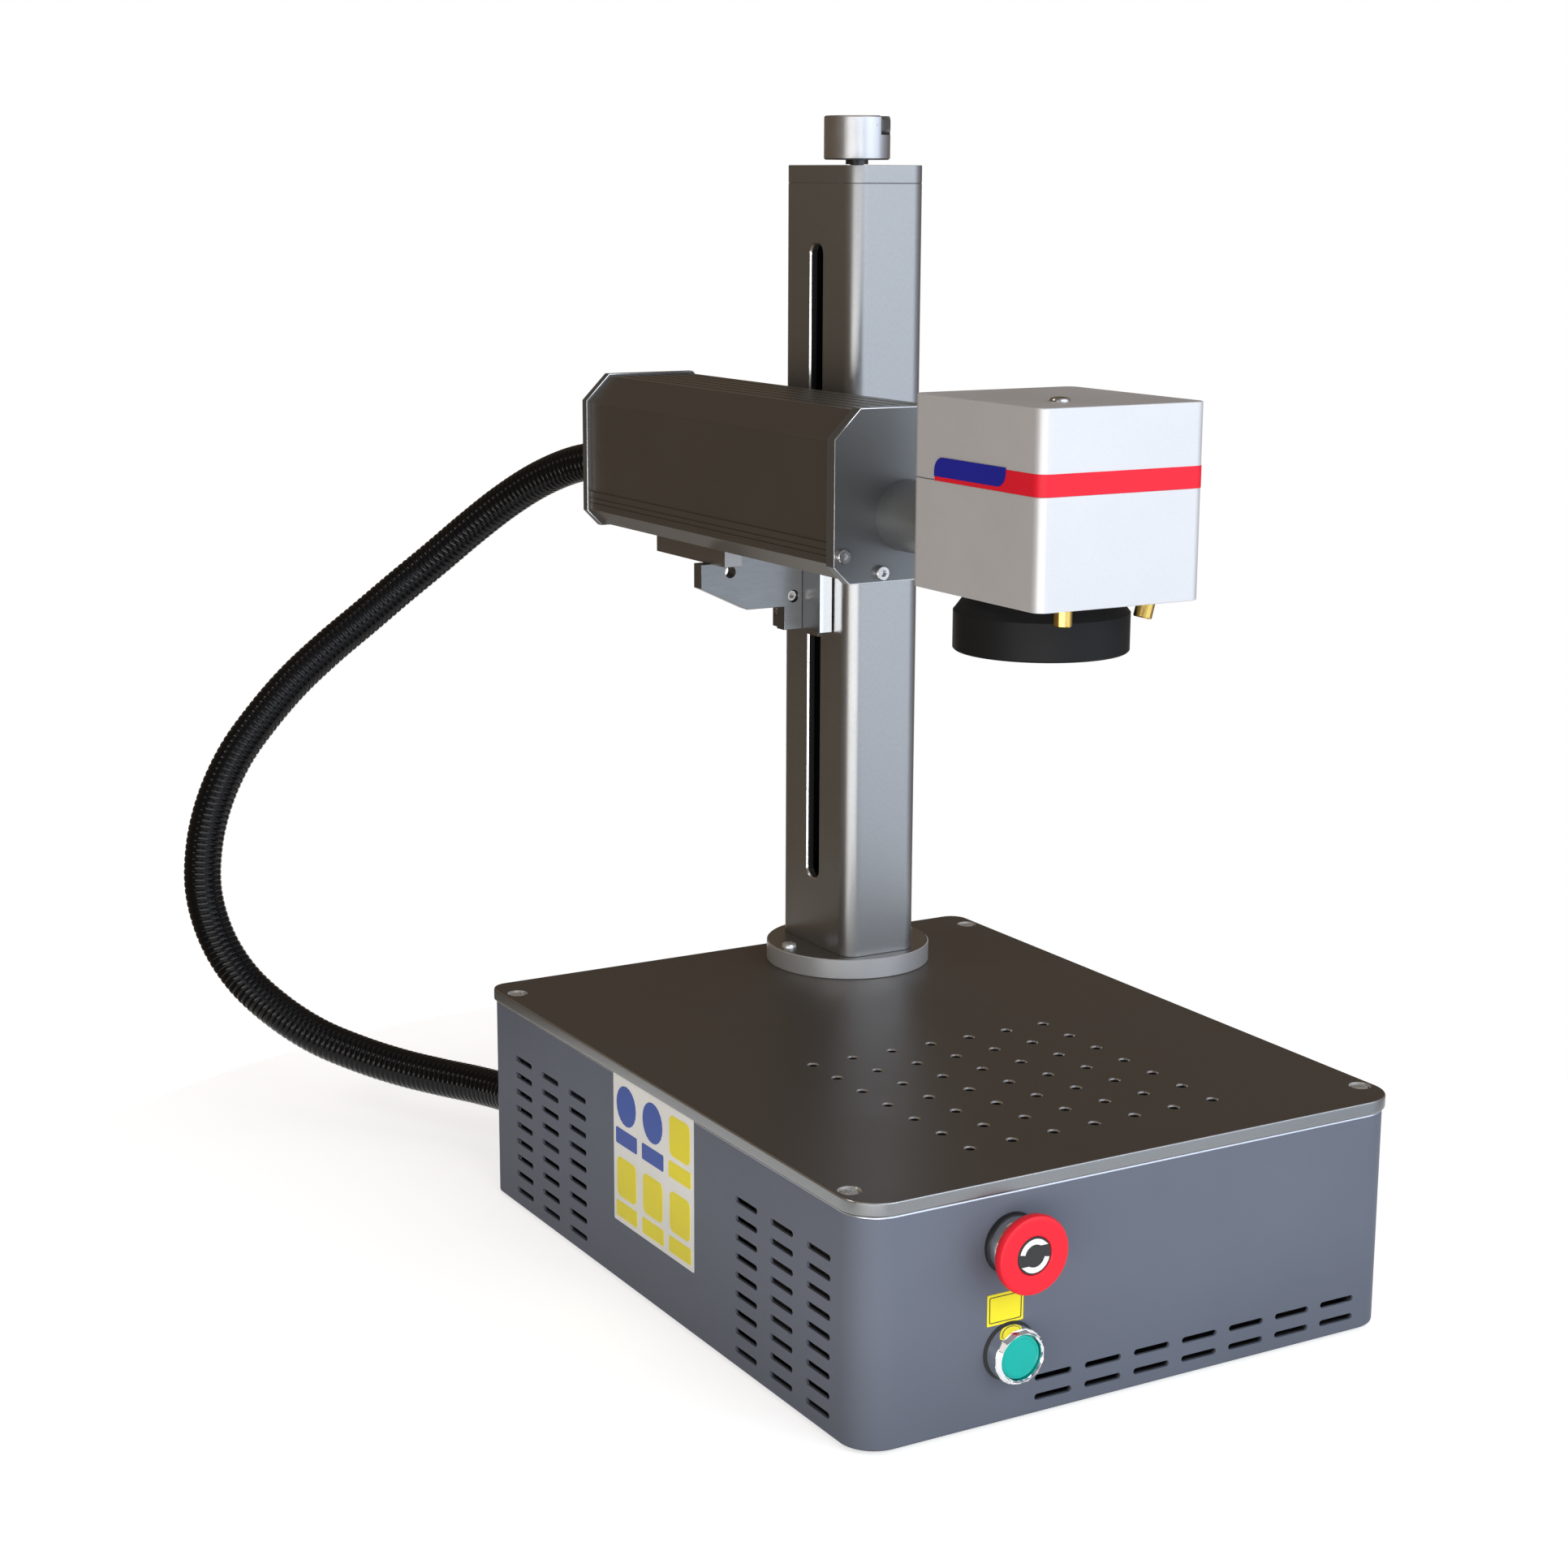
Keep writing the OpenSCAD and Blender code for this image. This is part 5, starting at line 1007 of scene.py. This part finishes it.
def turn_arrow(start):
    """Curved arrow: a third of a ring that ends in a point."""
    band_low, band_high, sweep, thick = 5.7 * MM, 8.5 * MM, math.radians(112), 0.2 * MM
    level = stop_face - 0.3 * MM
    bm = bmesh.new()
    strip = [bm.verts.new((r, 0, level)) for r in (band_low, band_high)]
    edge = bm.edges.new(strip)
    made = bmesh.ops.spin(bm, geom=strip + [edge], cent=(0, 0, 0), axis=(0, 0, 1), angle=-sweep, steps=18)
    last = [v for v in made["geom_last"] if isinstance(v, bmesh.types.BMVert)]
    tip_turn = Matrix.Rotation(-sweep - math.radians(24), 3, "Z")
    tip = bm.verts.new(tip_turn @ Vector((band_high + 0.4 * MM, 0, level)))
    bm.faces.new(last + [tip])
    bmesh.ops.recalc_face_normals(bm, faces=bm.faces)
    bmesh.ops.solidify(bm, geom=bm.faces[:], thickness=thick)
    return moved(paint(bm, 2), turn=Matrix.Rotation(start, 3, "Z"))


arrows = [turn_arrow(math.radians(a)) for a in (168, -12)]
stop_shape = moved(joined(stop_head, disc, *arrows), *stop_place, FACING_FRONT)
piece("stop_button", stop_shape, [red_plastic, black_plastic, white_print], "stop_button", "stop_head")
print("stop button face at", round(front_wall - stop_face, 4))

# %% Start button
start_place = Vector((start_mid.x, front_wall, start_mid.z))
cap_face = front_wall - corners("start_button")[0].y
bezel_flats = 12
bezel = turned(mm((11.5, 1), (11.5, 10.7), (12.2, 11.5), (13, 11.5), (14, 10.3), (14, 0), (11, 0), (11, -22),
                  (9, -22), (9, 1), (11.5, 1)), 96)
for k in range(bezel_flats):
    wedge = block((30 * MM, 3 * MM, 3 * MM))
    wedge = moved(wedge, 0, 14.35 * MM, 9.3 * MM, Matrix.Rotation(math.radians(38), 3, "X"))
    bezel = cut(bezel, moved(wedge, turn=Matrix.Rotation(k * 2 * math.pi / bezel_flats, 3, "Z")))
gasket = turned(mm((14.05, 0), (15, 0), (15, 0.6), (14.7, 0.9), (14.05, 0.9), (14.05, 0)))
green = turned(mm((0, -6), (11.2, -6), (11.2, -1), (10.7, -0.3), (9.8, 0), (9.2, -0.5), (6, -0.25),
                  (0, -0.1)))
green = moved(green, 0, 0, cap_face)
bezel = moved(bezel, *start_place, FACING_FRONT)
piece("start_bezel_ring", bezel, chrome, "cabinet", "start_bezel")
piece("start_gasket", moved(gasket, *start_place, FACING_FRONT), rubber, "cabinet")
piece("green_button", moved(green, *start_place, FACING_FRONT), green_plastic, "start_button", "start_button")
print("start button made")

# %% [markdown]
# ## Sheets and stickers
# A white sheet with plain coloured fields is stuck on the left side, and a small yellow sticker sits
# between the two buttons. They are thin films, and their coloured fields are films on top of them.

# %% Stuck-on sheets
sheet_y = (-43 * MM, 48 * MM)
sheet_z = (36.5 * MM, 119.5 * MM)
cell_y = (sheet_y[1] - sheet_y[0]) / 3
cell_z = (sheet_z[1] - sheet_z[0]) / 2
film_thick = 0.18 * MM


def side_film(y0, y1, z0, z1, radius, tone, lift=0.0):
    """Thin film on the cabinet's left side, in one of the sheet's tones."""
    patch = paint(block((y1 - y0, z1 - z0, film_thick), radius, 0, 5), tone)
    return moved(patch, case_low.x - lift, (y0 + y1) / 2, (z0 + z1) / 2, FACING_LEFT)


sheet_parts = [side_film(*sheet_y, *sheet_z, 1 * MM, 0)]
for row in (0, 1):
    for column_place in (0, 1, 2):
        y0 = sheet_y[0] + column_place * cell_y
        z0 = sheet_z[0] + row * cell_z
        tone = 1 if row == 1 and column_place > 0 else 2
        for edge, foot, head, radius in ((4, 15, 37.3, 11 if tone == 1 else 4), (3, 3, 12, 1)):
            sheet_parts.append(side_film(y0 + edge * MM, y0 + cell_y - edge * MM, z0 + foot * MM,
                                         z0 + head * MM, radius * MM, tone, film_thick))
piece("side_sheet", joined(*sheet_parts), [white_print, blue_print, yellow_print], "cabinet", "panel_labels")

sticker_x, sticker_z = -81.8 * MM, 61 * MM
sticker = block((21 * MM, 16 * MM, film_thick), 0.6 * MM, 0, 3)
border_hole = moved(block((17.8 * MM, 12.6 * MM, 4 * film_thick), 0.7 * MM, 0, 3), 0, 0, -film_thick)
border = paint(cut(block((18.6 * MM, 13.4 * MM, film_thick), 1 * MM, 0, 3), border_hole), 1)
sticker = joined(sticker, moved(border, 0, 0, film_thick))
piece("yellow_sticker", moved(sticker, sticker_x, front_wall, sticker_z, FACING_FRONT),
      [yellow_print, black_print], "cabinet")
print("sheets made")

# %% [markdown]
# ## Glands, fan and rear sockets
# The rear is out of the photograph's view. It has what such a cabinet has: a fan behind a wire guard,
# a power inlet with a rocker switch, a data socket and the hose's gland.

# %% Glands
def gland(x, y, z, name, node, body):
    """Cable gland that points backwards: hexagon, grooved dome and thread."""
    nut = rod(30 * MM, 8 * MM, 0.6 * MM, 6)
    dome = turned(mm((11.2, 8), (13.5, 8), (13.5, 12), (13, 12.5), (13.5, 13), (13.5, 15), (12.4, 17.4),
                     (11.2, 18), (11.2, 8)), 48)
    thread = moved(rod(20 * MM, 14 * MM, 0.5 * MM, 32), 0, 0, -14 * MM)
    shape = joined(nut, dome, thread)
    piece(name, moved(shape, x, y, z, LYING_BACK), black_plastic, body, node)


gland(axis_x, rear_high.y, axis_z, "housing_gland", "head_gland", "head")
gland(gland_mid.x, case_high.y, gland_mid.z, "rear_gland", "cabinet_gland", "cabinet")

# %% Fan guard
wire_r = 0.9 * MM
spoke_long = 101 * MM
guard_screw_reach = 35.75 * MM


def wire_ring(radius):
    """Ring of round wire that lies on z = 0."""
    turns = [2 * math.pi * k / 8 for k in range(9)]
    return turned([(radius + wire_r * math.cos(a), wire_r + wire_r * math.sin(a)) for a in turns], 56)


guard = [wire_ring(radius * MM) for radius in (14, 24, 34)]
for way in (math.radians(45), math.radians(135)):
    spoke = moved(rod(2 * wire_r, spoke_long, 0.3 * MM, 10), -spoke_long / 2, 0, wire_r, LYING_RIGHT)
    guard.append(moved(spoke, turn=Matrix.Rotation(way, 3, "Z")))
guard += [moved(cross_screw(8 * MM, 3.4 * MM, 4 * MM), x * guard_screw_reach, y * guard_screw_reach)
          for x in (-1, 1) for y in (-1, 1)]
guard_shape = moved(joined(*guard), fan_mid.x, case_high.y, fan_mid.z, LYING_BACK)
piece("guard", guard_shape, steel_bright, "cabinet", "fan_guard")
print("glands and guard made")

# %% [markdown]
# ## CAD parts that keep their shape
# Parts inside the machine, and simple ones, keep the CAD mesh and only get a finish.

# %% Finishes of the kept CAD parts
kept = {
    "bottom_pan": pan_paint, "foot_pads": rubber, "corner_posts": steel_bright,
    "column_foot_block": flange_grey, "column_bolts": dark_steel_and_hole_shade, "screw_bearings": steel_bright,
    "guide_rods": steel_bright,
    "lead_screw": collar_dark, "crank_pin": steel_bright, "carriage": flange_grey, "lead_nut": brass,
    "collimator": housing_black, "motor_bracket": flange_grey, "galvo_motor_x": plate_black,
    "galvo_motor_y": plate_black, "mirror_x": scan_mirror, "mirror_y": scan_mirror, "lens_glass": lens_glass,
    "stop_plunger": black_plastic, "laser_source": housing_black, "power_supply": bracket_silver,
    "control_board": board_green, "fan_frame": black_plastic, "fan_rotor": black_plastic,
    "power_inlet": black_plastic, "rocker_switch": red_plastic, "usb_socket": steel_bright,
}
for node, finish in kept.items():
    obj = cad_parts[node]
    obj.data.materials.clear()
    obj.data.materials.append(finish)
print("kept CAD parts", len(kept), "pieces", len(piece_count))

# %% [markdown]
# ## Floor and light
# The floor is a small pale disc, which looks white but keeps the object's shadow. The world is white to
# the camera. Metal and glass see white only in a cone behind the object, as the main camera looks at it.
# Elsewhere they see a room that is dim and warm at the back and bright and bluish in front. The same
# room lights the object, together with the lamps.

# %% Floor, lamps and world
def floor_finish():
    """A floor whose paleness is seen by the camera and by metal, and which keeps the object's shadow."""
    f = Finish("floor_white")
    by_camera, by_gloss, by_glass = f.rays()
    lit = f.node("ShaderNodeBsdfDiffuse", None, {"Color": (0.85, 0.85, 0.85, 1)})
    pale = f.node("ShaderNodeEmission", None, {"Color": (1, 1, 1, 1), "Strength": 0.66})
    white = f.node("ShaderNodeAddShader", None, {0: lit, 1: pale})
    grey = f.node("ShaderNodeBsdfDiffuse", None, {"Color": (0.5, 0.5, 0.5, 1)})
    both = f.node("ShaderNodeMixShader", None, {0: by_camera + by_gloss + by_glass, 1: grey, 2: white})
    f.node("ShaderNodeOutputMaterial", None, {"Surface": both})
    return f.material


bm = bmesh.new()
bmesh.ops.create_circle(bm, cap_ends=True, segments=96, radius=0.55)
floor = bpy.data.objects.new("floor", to_mesh(bm, "floor"))
bpy.context.scene.collection.objects.link(floor)
floor.data.materials.append(floor_finish())


def lamp(name, place, target, size, power, colour):
    """Rectangular lamp in metres and watts that faces a target."""
    light = bpy.data.lights.new(name, "AREA")
    light.shape = "RECTANGLE"
    light.size, light.size_y = size
    light.energy = power
    light.color = colour
    obj = bpy.data.objects.new(name, light)
    bpy.context.scene.collection.objects.link(obj)
    obj.location = place
    obj.rotation_euler = (Vector(target) - Vector(place)).to_track_quat("-Z", "Y").to_euler()


lamp("left_window", (-1.5, -1.61, 0.0), (0, 0, 0.25), (2.9, 0.7), 26, (1.0, 0.99, 0.96))
lamp("right_window", (1.25, -2.3, 0.6), (0, 0, 0.3), (2.8, 2.2), 17.5, (0.86, 0.93, 1.0))
lamp("front_window", (0.3, -2.6, 1.7), (0, 0, 0.25), (2.6, 1.2), 19, (0.92, 0.96, 1.0))
lamp("left_fill", (-1.3, -0.9, 0.8), (-0.1, -0.1, 0.3), (0.5, 0.9), 1.0, (1.0, 0.94, 0.87))
lamp("left_high", (-1.6, 0.5, 1.5), (-0.2, 0.1, 0.3), (0.5, 0.5), 3, (1.0, 0.96, 0.9))
lamp("ceiling", (0.2, 0.4, 2.6), (0, 0, 0.2), (1.8, 1.8), 4, (1.0, 0.93, 0.86))


def room():
    """World: white to the camera, white to metal and glass in a cone behind the object, else a dim room."""
    cone_half = math.radians(24)
    front = (0.3, -0.95, 0.0)
    tones = ((0.25, (0.15, 0.113, 0.078)), (0.6, (0.23, 0.2, 0.18)), (0.95, (0.62, 0.68, 0.8)))
    world = bpy.data.worlds.new("room")
    bpy.context.scene.world = world
    f = Finish("room", world)
    way = f.node("ShaderNodeTexCoord", output="Generated")
    height = f.node("ShaderNodeSeparateXYZ", None, {0: way}, output="Z")
    dot = {"operation": "DOT_PRODUCT"}
    lean, ahead = (f.node("ShaderNodeVectorMath", dot, {0: way, 1: aim}, output="Value")
                   for aim in (front, -backward))
    ramp = f.tree.nodes.new("ShaderNodeValToRGB")
    ramp.color_ramp.elements.new(0.5)
    for stop, (place, colour) in zip(ramp.color_ramp.elements, tones):
        stop.position = place
        stop.color = shade(colour)
    f.tree.links.new((lean * 0.5 + 0.5).socket, ramp.inputs[0])
    room_light = f.node("ShaderNodeBackground", None, {0: Value(f, ramp.outputs[0]), 1: 1.0})
    ground = f.node("ShaderNodeBackground", None, {0: (1, 1, 1, 1), 1: 1.0})
    by_camera, by_gloss, by_glass = f.rays()
    in_cone = ahead.math("GREATER_THAN", math.cos(cone_half)) * height.math("LESS_THAN", 0.0)
    white = by_camera.math("MAXIMUM", (by_gloss + by_glass) * in_cone)
    both = f.node("ShaderNodeMixShader", None, {0: white, 1: room_light, 2: ground})
    f.node("ShaderNodeOutputWorld", None, {"Surface": both})


room()
bpy.context.scene.view_settings.view_transform = "Standard"
print("light set")
